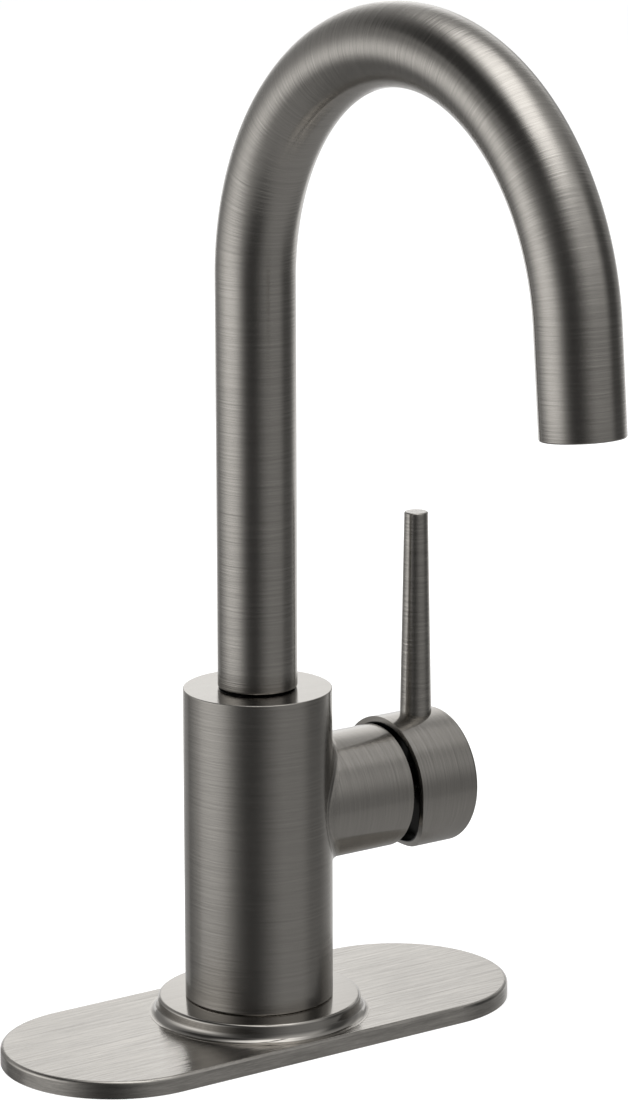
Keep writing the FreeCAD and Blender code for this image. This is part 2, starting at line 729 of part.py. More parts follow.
def build_aerator(outlet_y, outlet_z):
    """Recessed aerator inside the outlet, each piece on the outlet's axis."""
    outer = s.tube_bore - s.aerator_gap

    def outlet_body(name):
        body = new_body(name)
        turned = FreeCAD.Rotation(FreeCAD.Vector(1, 0, 0), s.bend_angle.value - 180)
        body.Placement = FreeCAD.Placement(FreeCAD.Vector(0, 0, 0), turned)
        body.setExpression("Placement.Rotation.Angle", f"(180 - {s.bend_angle.text}) * 1 deg")
        body.setExpression("Placement.Rotation.Axis.x", "-1")
        place(body, 0, outlet_y, outlet_z)
        return body

    foot = s.outlet_recess
    lip_top = foot + s.aerator_lip_height
    housing_top = foot + s.aerator_height
    turn(outlet_body("aerator_housing"), "housing", "Z", [
        (foot, s.aerator_lip), (foot, outer), (housing_top, outer),
        (housing_top, s.aerator_bore), (lip_top, s.aerator_bore), (lip_top, s.aerator_lip)])

    insert = outlet_body("aerator_insert")
    insert_top = lip_top + s.insert_height
    turn(insert, "insert", "Z", [(lip_top, 0), (lip_top, s.aerator_bore - s.aerator_gap),
                                 (insert_top, s.aerator_bore - s.aerator_gap), (insert_top, 0)])
    for ring, radius, count in (("inner", s.insert_inner_circle, INSERT_INNER_HOLES),
                                ("outer", s.insert_outer_circle, INSERT_OUTER_HOLES)):
        hole = bore(insert, f"{ring}_hole", "XY", lip_top, insert_top,
                    radius, 0, s.insert_hole_radius)
        pattern = insert.newObject("PartDesign::PolarPattern", f"{ring}_holes")
        pattern.Originals = [hole]
        pattern.Axis = (hole.Profile[0], ["N_Axis"])
        pattern.Angle = 360.0
        pattern.Occurrences = count
        settle(pattern, insert)

    screen = outlet_body("aerator_screen")
    screen_top = insert_top + s.screen_thickness

    def mesh(sketch):
        add_circle(sketch, 0, 0, s.aerator_bore - s.aerator_gap)
        for ring in range(1, SCREEN_RING_COUNT + 1):
            count = HOLES_PER_SCREEN_RING * ring
            for i in range(count):
                angle = 2 * math.pi * i / count
                reach = s.screen_pitch * ring
                add_circle(sketch, reach * math.cos(angle), reach * math.sin(angle),
                           s.screen_hole_radius)

    pad(screen, "screen", "XY", insert_top, screen_top, mesh)

    gasket = outlet_body("aerator_gasket")
    gasket_top = housing_top + s.aerator_gasket_height
    turn(gasket, "gasket", "Z", [
        (housing_top, s.aerator_gasket_bore), (housing_top, outer),
        (gasket_top, outer), (gasket_top, s.aerator_gasket_bore)])


def build_cartridge():
    """Ceramic-disc cartridge: housing, discs, rotor, pin, stem, nut, cover."""
    axis_z = s.handle_axis_height
    back = s.cartridge_floor + s.seal_thickness
    cavity_start = back + s.housing_base
    front = s.housing_front + s.housing_flange

    housing = new_body("cartridge_housing", z=axis_z)
    turn(housing, "housing", "X", [
        (back, 0), (back, s.cartridge_radius), (s.housing_front, s.cartridge_radius),
        (s.housing_front, s.flange_radius), (front, s.flange_radius), (front, s.front_hole),
        (s.housing_front, s.front_hole), (s.housing_front, s.housing_cavity),
        (cavity_start, s.housing_cavity), (cavity_start, 0)])
    ports = (("hot_port", s.tail_y, -s.inlet_port_drop, s.tail_bore),
             ("cold_port", -s.tail_y, -s.inlet_port_drop, s.tail_bore),
             ("mixed_port", ZERO, s.outlet_port_rise, s.outlet_port_radius))
    for name, y, z, radius in ports:
        bore(housing, name, "YZ", back, cavity_start, y, z, radius)

    seals = []
    for name, y, z, radius in ports:
        outer = solid("Cylinder", f"{name}_seal_rim", Radius=s.seal_radius, Height=s.seal_thickness)
        inner = solid("Cylinder", f"{name}_seal_bore", Radius=radius, Height=s.seal_thickness)
        ring = doc.addObject("Part::Cut", f"{name}_seal")
        ring.Base = outer
        ring.Tool = inner
        ring.Placement = FreeCAD.Placement(
            FreeCAD.Vector(0, 0, 0), FreeCAD.Rotation(FreeCAD.Vector(0, 1, 0), 90))
        place(ring, s.cartridge_floor, y, axis_z + z)
        seals.append(ring)
    gather("cartridge_seals", seals)

    fixed = new_body("fixed_ceramic_disc", z=axis_z)
    fixed_front = cavity_start + s.disc_thickness
    turn(fixed, "disc", "X", [(cavity_start, 0), (cavity_start, s.fixed_disc_radius),
                              (fixed_front, s.fixed_disc_radius), (fixed_front, 0)])
    for name, y, z, radius in ports:
        bore(fixed, name, "YZ", cavity_start, fixed_front, y, z, radius)

    moving = new_body("moving_ceramic_disc", z=axis_z - s.moving_disc_offset)
    slide_face = fixed_front + s.face_gap
    moving_front = slide_face + s.moving_disc_thickness
    turn(moving, "disc", "X", [(slide_face, 0), (slide_face, s.moving_disc_radius),
                               (moving_front, s.moving_disc_radius), (moving_front, 0)])
    bore(moving, "ball_socket", "YZ", moving_front - s.ball_socket_depth, moving_front,
         0, s.moving_disc_offset, s.ball_socket_radius)

    rotor = new_body("cartridge_rotor", z=axis_z)
    turn(rotor, "rotor", "X", [
        (s.rotor_start, 0), (s.rotor_start, s.rotor_radius), (s.rotor_shoulder, s.rotor_radius),
        (s.rotor_shoulder, s.rotor_neck), (s.rotor_end, s.rotor_neck), (s.rotor_end, 0)])
    half = s.rotor_slot_half_width
    cut(rotor, "stem_slot", "YZ", s.rotor_start, s.rotor_end, lambda sk: add_polygon(
        sk, [(-half, -s.rotor_slot_down), (half, -s.rotor_slot_down),
             (half, s.rotor_slot_up), (-half, s.rotor_slot_up)]))
    half_pin = s.pin_length / 2
    bore(rotor, "pin_hole", "XZ", -s.rotor_radius, s.rotor_radius, s.pivot_x, 0, s.pin_radius)

    pin = new_body("stem_pivot_pin", z=axis_z)
    pad(pin, "pin", "XZ", -half_pin, half_pin,
        lambda sk: add_circle(sk, s.pivot_x, 0, s.pin_radius))

    stem = new_body("cartridge_stem", z=axis_z)
    ball_x = s.pivot_x - s.ball_reach
    turn(stem, "barrel", "X", [
        (ball_x, 0), (ball_x, s.stem_neck), (s.stem_shoulder, s.stem_neck),
        (s.stem_shoulder, s.stem_radius), (s.stem_end, s.stem_radius), (s.stem_end, 0)])
    ball = stem.newObject("PartDesign::AdditiveSphere", "ball")
    ball.setExpression("Radius", s.ball_radius.text)
    ball.AttachmentSupport = [(stem.Origin.OriginFeatures[0], "")]
    ball.MapMode = "ObjectXY"
    ball.setExpression("AttachmentOffset.Base.x", ball_x.text)
    settle(ball, stem)
    bore(stem, "pin_hole", "XZ", -s.stem_radius, s.stem_radius, s.pivot_x, 0,
         s.pin_radius + s.bearing_gap)
    flat = s.stem_radius - s.stem_flat_depth
    cut(stem, "screw_flat", "XZ", -s.stem_radius, s.stem_radius, lambda sk: add_polygon(
        sk, [(s.stem_flat_start, -s.stem_radius), (s.stem_end, -s.stem_radius),
             (s.stem_end, -flat), (s.stem_flat_start, -flat)]))

    nut = new_body("cartridge_nut", z=axis_z)
    nut_front = front + s.nut_length
    nut_outer = s.flange_bore - s.thread_gap
    turn(nut, "nut", "X", [(front, s.nut_bore), (front, nut_outer),
                           (nut_front, nut_outer), (nut_front, s.nut_bore)])
    notch = s.nut_notch_half_width
    for name, outline in (
            ("flat_notches", [(-nut_outer, -notch), (nut_outer, -notch),
                              (nut_outer, notch), (-nut_outer, notch)]),
            ("upright_notches", [(-notch, -nut_outer), (notch, -nut_outer),
                                 (notch, nut_outer), (-notch, nut_outer)])):
        cut(nut, name, "YZ", nut_front - s.nut_notch_depth, nut_front,
            lambda sk, points=outline: add_polygon(sk, points))

    cover = new_body("bonnet_cover", s.pivot_x, z=axis_z)
    dome_foot = nut_front + s.face_gap - s.pivot_x
    inner_radius = s.dome_radius - s.dome_wall
    sketch = new_sketch(cover, "dome_profile", "XZ")
    foot_outer = root(s.dome_radius * s.dome_radius - dome_foot * dome_foot)
    foot_inner = root(inner_radius * inner_radius - dome_foot * dome_foot)
    open_x, open_r = cosine(s.dome_open_angle), sine(s.dome_open_angle)
    corners = [(dome_foot, foot_outer), (open_x * s.dome_radius, open_r * s.dome_radius),
               (open_x * inner_radius, open_r * inner_radius), (dome_foot, foot_inner)]
    up = FreeCAD.Vector(0, 0, 1)
    start = math.radians(s.dome_open_angle.value)
    outer_end = math.acos(dome_foot.value / s.dome_radius.value)
    inner_end = math.acos(dome_foot.value / inner_radius.value)
    origin = FreeCAD.Vector(0, 0, 0)
    sketch.addGeometry(Part.ArcOfCircle(
        Part.Circle(origin, up, s.dome_radius.value), start, outer_end), False)
    sketch.addGeometry(Part.ArcOfCircle(
        Part.Circle(origin, up, inner_radius.value), start, inner_end), False)
    sketch.addGeometry(Part.LineSegment(vector(*corners[1]), vector(*corners[2])), False)
    sketch.addGeometry(Part.LineSegment(vector(*corners[0]), vector(*corners[3])), False)
    for one, end, other, start_end in ((0, 1, 2, 1), (2, 2, 1, 1), (0, 2, 3, 1), (3, 2, 1, 2)):
        sketch.addConstraint(Sketcher.Constraint("Coincident", one, end, other, start_end))
    sketch.addConstraint(Sketcher.Constraint("Coincident", 0, 3, -1, 1))
    sketch.addConstraint(Sketcher.Constraint("Coincident", 1, 3, -1, 1))
    pin_point(sketch, 0, 1, *corners[1])
    drive(sketch, Sketcher.Constraint("DistanceX", -1, 1, 0, 2, dome_foot.value), dome_foot)
    pin_point(sketch, 1, 1, *corners[2])
    drive(sketch, Sketcher.Constraint("DistanceX", -1, 1, 1, 2, dome_foot.value), dome_foot)
    dome = cover.newObject("PartDesign::Revolution", "dome")
    dome.Profile = sketch
    dome.ReferenceAxis = (sketch, ["H_Axis"])
    dome.Angle = 360.0
    settle(dome, cover)


def build_handle():
    """Cup, tapered lever and set screw, carried on the cartridge stem."""
    axis_z = s.handle_axis_height
    cap = new_body("handle_cap", z=axis_z)
    hollow_end = s.cap_start + s.cap_bore_depth
    stem_socket = s.stem_radius + s.thread_gap
    shell = turn(cap, "cup", "X", [
        (s.cap_start, s.cap_bore), (s.cap_start, s.cap_radius), (s.cap_end, s.cap_radius),
        (s.cap_end, 0), (s.stem_end + s.running_gap, 0), (s.stem_end + s.running_gap, stem_socket),
        (hollow_end, stem_socket), (hollow_end, s.cap_bore)])
    far = circle_edges(shell.Shape, "x", s.cap_end.value, s.cap_radius.value)
    soften(cap, "front_edge", shell, far, s.cap_edge_round)

    def relief(sketch):
        low = -s.cap_radius - s.cut_margin
        centre_x = s.cap_start + s.cap_relief_radius
        start_x = centre_x - root(s.cap_relief_radius * s.cap_relief_radius - low * low)
        circle = Part.Circle(vector(centre_x, 0), FreeCAD.Vector(0, 0, 1), s.cap_relief_radius.value)
        end_angle = math.pi + math.asin(-low.value / s.cap_relief_radius.value)
        sketch.addGeometry(Part.ArcOfCircle(circle, math.pi, end_angle), False)
        outside = s.cap_start - s.cut_margin
        sketch.addGeometry(Part.LineSegment(vector(start_x, low), vector(outside, low)), False)
        sketch.addGeometry(Part.LineSegment(vector(outside, low), vector(outside, 0)), False)
        sketch.addGeometry(Part.LineSegment(vector(outside, 0), vector(s.cap_start, 0)), False)
        for one, end, other, other_end in ((0, 2, 1, 1), (1, 2, 2, 1), (2, 2, 3, 1), (3, 2, 0, 1)):
            sketch.addConstraint(Sketcher.Constraint("Coincident", one, end, other, other_end))
        pin_point(sketch, 0, 3, centre_x, 0)
        pin_point(sketch, 3, 2, s.cap_start, 0)
        pin_point(sketch, 1, 2, outside, low)
        drive(sketch, Sketcher.Constraint("DistanceY", -1, 1, 1, 1, low.value), low)
        drive(sketch, Sketcher.Constraint("DistanceX", -1, 1, 3, 1, outside.value), outside)
        drive(sketch, Sketcher.Constraint("DistanceY", -1, 1, 3, 1, 0.0), ZERO)

    cut(cap, "tilt_relief", "XZ", -s.cap_radius - s.cut_margin, s.cap_radius + s.cut_margin, relief)
    foot = s.cap_radius - s.tenon_length
    bore(cap, "lever_socket", "XY", foot, s.cap_radius + s.cut_margin,
         s.lever_x, 0, s.tenon_radius + s.thread_gap)
    bore(cap, "screw_hole", "XY", -s.cap_radius - s.cut_margin,
         -s.stem_radius + s.stem_flat_depth * 2,
         s.cap_screw_x, 0, s.cap_screw_radius + s.thread_gap)

    lever = new_body("handle_lever", s.lever_x)
    rod_foot = axis_z + s.tenon_length
    rod = turn(lever, "rod", "Z", [
        (rod_foot, 0), (rod_foot, s.lever_foot_radius),
        (axis_z + s.cap_radius, s.lever_foot_radius),
        (s.lever_top_height, s.lever_top_radius), (s.lever_top_height, 0)])
    top = circle_edges(rod.Shape, "z", s.lever_top_height.value, s.lever_top_radius.value)
    soften(lever, "top_edge", rod, top, s.lever_top_round)
    cut(lever, "saddle", "YZ", -s.cap_radius, s.cap_radius,
        lambda sk: add_circle(sk, 0, axis_z, s.cap_radius))
    tenon_foot = axis_z + s.cap_radius - s.tenon_length
    pad(lever, "tenon", "XY", tenon_foot, axis_z + s.cap_radius + s.cut_margin,
        lambda sk: add_circle(sk, 0, 0, s.tenon_radius))

    screw = new_body("handle_set_screw", s.cap_screw_x, z=axis_z)
    head = -s.cap_radius + s.cap_screw_sink
    tip = -s.stem_radius + s.stem_flat_depth
    pad(screw, "thread", "XY", head, tip, lambda sk: add_circle(sk, 0, 0, s.cap_screw_radius))
    cut(screw, "hex_socket", "XY", head, head + s.hex_socket_depth,
        lambda sk: add_polygon(sk, hexagon_points(s.hex_socket_across)))


def check_and_write():
    """Refuse any faulty object, then write one file per sub-part."""
    doc.recompute()
    for thing in doc.Objects:
        if "Invalid" in thing.State or "Error" in thing.State:
            raise RuntimeError(f"{thing.Name} is {thing.State}")
    os.makedirs("parts", exist_ok=True)
    for part in sub_parts:
        if part.Shape.isNull() or not part.Shape.isValid():
            raise RuntimeError(f"{part.Label} has a faulty shape")
        part.Shape.exportStep(f"parts/{part.Label}.step")


build_deck_plate()
build_deck_plate_gasket()
build_base_ring()
build_faucet_body()
build_shank_and_clamp()
build_inlet_tails()
build_aerator(*build_spout())
build_cartridge()
build_handle()
check_and_write()
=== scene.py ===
import logging
import math
from dataclasses import dataclass
from enum import Enum
from typing import Optional, Sequence, Union

import bmesh
import bpy
from mathutils import Matrix, Vector


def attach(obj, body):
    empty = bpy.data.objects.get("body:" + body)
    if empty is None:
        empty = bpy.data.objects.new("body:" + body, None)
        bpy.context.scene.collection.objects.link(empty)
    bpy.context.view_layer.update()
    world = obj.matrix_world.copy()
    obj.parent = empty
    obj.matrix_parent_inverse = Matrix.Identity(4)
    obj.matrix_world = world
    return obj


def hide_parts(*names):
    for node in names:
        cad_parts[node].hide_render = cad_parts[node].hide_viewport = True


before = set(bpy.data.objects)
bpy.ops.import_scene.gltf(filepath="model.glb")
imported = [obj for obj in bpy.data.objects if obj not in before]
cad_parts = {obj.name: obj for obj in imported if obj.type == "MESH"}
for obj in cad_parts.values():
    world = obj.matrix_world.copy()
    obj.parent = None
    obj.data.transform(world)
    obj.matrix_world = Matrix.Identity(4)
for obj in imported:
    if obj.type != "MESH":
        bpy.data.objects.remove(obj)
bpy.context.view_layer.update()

MM = 0.001
NOISE_MEAN = 0.5

log = logging.getLogger("bar_faucet")

Socket = bpy.types.NodeSocket
Number = Union[float, int, Socket]
Triple = tuple[float, float, float]


def smooth(value: float, low: float, high: float) -> float:
    """Ease from 0 to 1 between two limits.

    Args:
        value: The number to place.
        low: Where the ease leaves 0.
        high: Where the ease reaches 1.

    Returns:
        The eased share.
    """
    share = min(max((value - low) / (high - low), 0.0), 1.0)
    return share * share * (3.0 - 2.0 * share)


def stand(name: str, data: bpy.types.ID) -> bpy.types.Object:
    """Make an object and link it into the scene.

    Args:
        name: The object's name.
        data: The mesh, lamp or camera that it shows.

    Returns:
        The object.
    """
    thing = bpy.data.objects.new(name, data)
    bpy.context.scene.collection.objects.link(thing)
    return thing


class NodeBench:
    """Adds and wires the nodes of one tree in few words."""

    def __init__(self, tree: bpy.types.NodeTree) -> None:
        """Keep the tree and clear it.

        Args:
            tree: The node tree to work in.
        """
        self.tree = tree
        self.tree.nodes.clear()

    def add(self, kind: str, **settings: object) -> bpy.types.Node:
        """Add a node and set its properties.

        Args:
            kind: The node type's name.
            settings: Properties of the node, by name.

        Returns:
            The new node.
        """
        node = self.tree.nodes.new(kind)
        for name, value in settings.items():
            setattr(node, name, value)
        return node

    def feed(self, socket: Socket, source: Union[Number, Sequence[float]]) -> None:
        """Wire a socket, or set its own value.

        Args:
            socket: The input socket.
            source: Another node's output, or a constant.
        """
        if isinstance(source, bpy.types.NodeSocket):
            self.tree.links.new(source, socket)
        else:
            socket.default_value = source

    def sum(self, operation: str, *terms: Number) -> Socket:
        """Work out one step of arithmetic.

        Args:
            operation: The Math node's operation.
            terms: Its inputs in order.

        Returns:
            The result's socket.
        """
        node = self.add("ShaderNodeMath", operation=operation)
        for socket, term in zip(node.inputs, terms):
            self.feed(socket, term)
        return node.outputs[0]

    def vector(self, operation: str, *terms: Union[Socket, Sequence[float]],
               scale: Optional[Number] = None) -> Socket:
        """Work out one step of vector arithmetic.

        Args:
            operation: The Vector Math node's operation.
            terms: Its vector inputs in order.
            scale: The scale, where the operation has one.

        Returns:
            The vector result, or the value of a length or dot product.
        """
        node = self.add("ShaderNodeVectorMath", operation=operation)
        for socket, term in zip(node.inputs, terms):
            self.feed(socket, term)
        if scale is not None:
            self.feed(node.inputs["Scale"], scale)
        lone = operation in {"LENGTH", "DOT_PRODUCT"}
        return node.outputs["Value" if lone else "Vector"]

    def noise(self, vector: Socket, scale: Number, detail: float, rough: float = 0.5) -> Socket:
        """Sample soft noise.

        Args:
            vector: Where to sample.
            scale: Cells per unit.
            detail: Octaves.
            rough: Weight of the finer octaves.

        Returns:
            The noise between 0 and 1.
        """
        node = self.add("ShaderNodeTexNoise")
        self.feed(node.inputs["Vector"], vector)
        self.feed(node.inputs["Scale"], scale)
        node.inputs["Detail"].default_value = detail
        node.inputs["Roughness"].default_value = rough
        return node.outputs["Fac"]

    def remap(self, value: Socket, low: Number, high: Number, to_low: Number, to_high: Number,
              smooth_ends: bool = True) -> Socket:
        """Carry a value from one range to another.

        Args:
            value: The incoming value.
            low: Start of its range.
            high: End of its range.
            to_low: What the start becomes.
            to_high: What the end becomes.
            smooth_ends: Whether the ends ease in and out.

        Returns:
            The value in its new range.
        """
        node = self.add("ShaderNodeMapRange",
                        interpolation_type="SMOOTHSTEP" if smooth_ends else "LINEAR")
        for name, source in (("Value", value), ("From Min", low), ("From Max", high),
                             ("To Min", to_low), ("To Max", to_high)):
            self.feed(node.inputs[name], source)
        return node.outputs["Result"]

    def blend(self, share: Number, first: Union[Socket, Sequence[float]],
              second: Union[Socket, Sequence[float]]) -> Socket:
        """Mix two colours.

        Args:
            share: How much of the second.
            first: The first colour.
            second: The second colour.

        Returns:
            The mixed colour.
        """
        node = self.add("ShaderNodeMix", data_type="RGBA")
        self.feed(node.inputs["Factor"], share)
        self.feed(node.inputs["A"], first)
        self.feed(node.inputs["B"], second)
        return [out for out in node.outputs if out.type == "RGBA"][0]

    def group(self, tree: bpy.types.NodeTree,
              inputs: dict[str, Union[Number, Sequence[float]]]) -> bpy.types.Node:
        """Place a shared node group and feed it.

        Args:
            tree: The group.
            inputs: What each of its named inputs gets.

        Returns:
            The group's node.
        """
        node = self.add("ShaderNodeGroup", node_tree=tree)
        for name, source in inputs.items():
            self.feed(node.inputs[name], source)
        return node

    def shown_rays(self) -> Socket:
        """Tell the rays that show a surface from those that only gather its light.

        Returns:
            1 for camera, glossy and transmission rays, otherwise 0.
        """
        path = self.add("ShaderNodeLightPath")
        shown = self.sum("MAXIMUM", path.outputs["Is Camera Ray"], path.outputs["Is Glossy Ray"])
        return self.sum("MAXIMUM", shown, path.outputs["Is Transmission Ray"])

    def surface(self, colour: Socket, dull: Socket, height: Socket, depth: float,
                metallic: float = 0.0) -> bpy.types.Node:
        """Add the Principled surface and its bump, and end the material with it.

        Args:
            colour: The base colour.
            dull: The roughness.
            height: The relief between 0 and 1.
            depth: What a relief of 1 measures, in metres.
            metallic: 1 for metal.

        Returns:
            The surface's node.
        """
        bump = self.add("ShaderNodeBump")
        bump.inputs["Distance"].default_value = depth
        self.feed(bump.inputs["Height"], height)
        surface = self.add("ShaderNodeBsdfPrincipled")
        surface.inputs["Metallic"].default_value = metallic
        self.feed(surface.inputs["Base Color"], colour)
        self.feed(surface.inputs["Roughness"], dull)
        self.feed(surface.inputs["Normal"], bump.outputs["Normal"])
        self.end(surface.outputs["BSDF"])
        return surface

    def end(self, shader: Socket) -> None:
        """Wire the finished shader to a material's output."""
        self.feed(self.add("ShaderNodeOutputMaterial").inputs["Surface"], shader)


def start_finish(name: str) -> tuple[bpy.types.Material, NodeBench]:
    """Make an empty material.

    Args:
        name: The material's name.

    Returns:
        The material, and the bench for its nodes.
    """
    material = bpy.data.materials.new(name)
    material.use_nodes = True
    return material, NodeBench(material.node_tree)


def wear_and_highlight_tint(tint: Triple, gain: float, lift: float = 0.0) -> tuple[float, ...]:
    """A finish's colour at an edge, paler for wear and as a painted highlight.

    Args:
        tint: The colour elsewhere.
        gain: How many times as bright it gets.
        lift: What is added to each channel besides.

    Returns:
        The paler colour, with its alpha.
    """
    return (*(min(1.0, channel * gain + lift) for channel in tint), 1.0)


class EffectGroups:
    """The shader node groups that several finishes share.

    Cells count a noise's cells in each unit, details are its octaves and their weight, and a
    band is the pair of levels that a mask eases between.
    """

    sway_cells: float = 34.0
    stroke_details: tuple[float, float] = (5.0, 0.86)
    furrow_details: tuple[float, float] = (4.0, 0.56)
    furrow_shift: Triple = (31.7, 12.4, 57.9)
    scratch_shift: Triple = (7.1, 41.3, 23.6)
    scratch_cells: float = 7.0
    scratch_band: tuple[float, float] = (0.70, 0.82)
    patch_details: tuple[float, float] = (3.0, 0.55)
    patch_band: tuple[float, float] = (0.3, 0.7)
    corner_band: tuple[float, float] = (0.995, 0.90)
    chip_cells: float = 700.0
    chip_band: tuple[float, float] = (0.25, 0.7)
    chip_floor: float = 0.35

    def __init__(self) -> None:
        """Build each group once."""
        self.strokes = self._brush_strokes()
        self.handling = self._handling()
        self.edges = self._edge_wear_and_highlight()

    @staticmethod
    def _open(name: str, inputs: Sequence[tuple[str, str, object]],
              outputs: Sequence[tuple[str, str]]) -> tuple[NodeBench, Socket, Socket]:
        """Start a group with named sockets.

        Args:
            name: The group's name.
            inputs: Name, socket type and default of each input.
            outputs: Name and socket type of each output.

        Returns:
            The bench, the outputs of the input node and the inputs of the output node.
        """
        tree = bpy.data.node_groups.new(name, "ShaderNodeTree")
        bench = NodeBench(tree)
        for label, kind, default in inputs:
            socket = tree.interface.new_socket(label, in_out="INPUT", socket_type=kind)
            socket.default_value = default
        for label, kind in outputs:
            tree.interface.new_socket(label, in_out="OUTPUT", socket_type=kind)
        entry = bench.add("NodeGroupInput")
        end = bench.add("NodeGroupOutput")
        return bench, entry.outputs, end.inputs

    def _brush_strokes(self) -> bpy.types.NodeTree:
        """Short parallel strokes of many widths, drawn out along the slow axes.

        Returns:
            The group.
        """
        bench, source, result = self._open(
            "Brush Strokes",
            [("Position", "NodeSocketVector", (0.0, 0.0, 0.0)),
             ("Strokes Per Metre", "NodeSocketVector", (26.0, 26.0, 220.0)),
             ("Wander", "NodeSocketFloat", 0.00012)],
            [("Strokes", "NodeSocketFloat"), ("Furrows", "NodeSocketFloat"),
             ("Scratches", "NodeSocketFloat")])
        sway = bench.noise(source["Position"], self.sway_cells, 1.0)
        sway = bench.sum("MULTIPLY", bench.sum("SUBTRACT", sway, NOISE_MEAN), source["Wander"])
        shift = bench.vector("SCALE", (1.0, 1.0, 1.0), scale=sway)
        place = bench.vector("ADD", source["Position"], shift)
        grain = bench.vector("MULTIPLY", place, source["Strokes Per Metre"])
        strokes = bench.noise(grain, 1.0, *self.stroke_details)
        furrows = bench.noise(bench.vector("ADD", grain, self.furrow_shift), 1.0,
                              *self.furrow_details)
        lone = bench.noise(bench.vector("ADD", grain, self.scratch_shift),
                           self.scratch_cells, 0.0)
        bench.feed(result["Strokes"], strokes)
        bench.feed(result["Furrows"], furrows)
        bench.feed(result["Scratches"], bench.remap(lone, *self.scratch_band, 0.0, 1.0))
        return bench.tree

    def _handling(self) -> bpy.types.NodeTree:
        """Slow patches where the surface was wiped and touched.

        Returns:
            The group.
        """
        bench, source, result = self._open(
            "Wiped Patches",
            [("Position", "NodeSocketVector", (0.0, 0.0, 0.0)),
             ("Patch Size", "NodeSocketFloat", 0.03)],
            [("Patches", "NodeSocketFloat")])
        scale = bench.sum("DIVIDE", 1.0, source["Patch Size"])
        patches = bench.noise(source["Position"], scale, *self.patch_details)
        bench.feed(result["Patches"], bench.remap(patches, *self.patch_band, 0.0, 1.0))
        return bench.tree

    def _edge_wear_and_highlight(self) -> bpy.types.NodeTree:
        """A mask that is bright where two faces meet at a corner, for edge wear and a painted edge
        highlight.

        Returns:
            The group.
        """
        bench, source, result = self._open(
            "Edge Wear And Highlight",
            [("Reach", "NodeSocketFloat", 0.0006), ("Position", "NodeSocketVector", (0, 0, 0))],
            [("Edge", "NodeSocketFloat")])
        corner = bench.add("ShaderNodeBevel", samples=4)
        bench.feed(corner.inputs["Radius"], source["Reach"])
        plain = bench.add("ShaderNodeNewGeometry")
        same = bench.vector("DOT_PRODUCT", corner.outputs["Normal"], plain.outputs["Normal"])
        edge = bench.remap(same, *self.corner_band, 0.0, 1.0)
        broken = bench.remap(bench.noise(source["Position"], self.chip_cells, 2.0),
                             *self.chip_band, self.chip_floor, 1.0)
        bench.feed(result["Edge"], bench.sum("MULTIPLY", edge, broken))
        return bench.tree


class Brushing(Enum):
    """How a piece was brushed or turned."""

    UPRIGHT = "round the upright axis"
    HANDLE = "round the handle axis"
    BODY = "round the body, and round its side boss"
    PLATE = "along the plate"
    SPOUT = "round the bent tube"


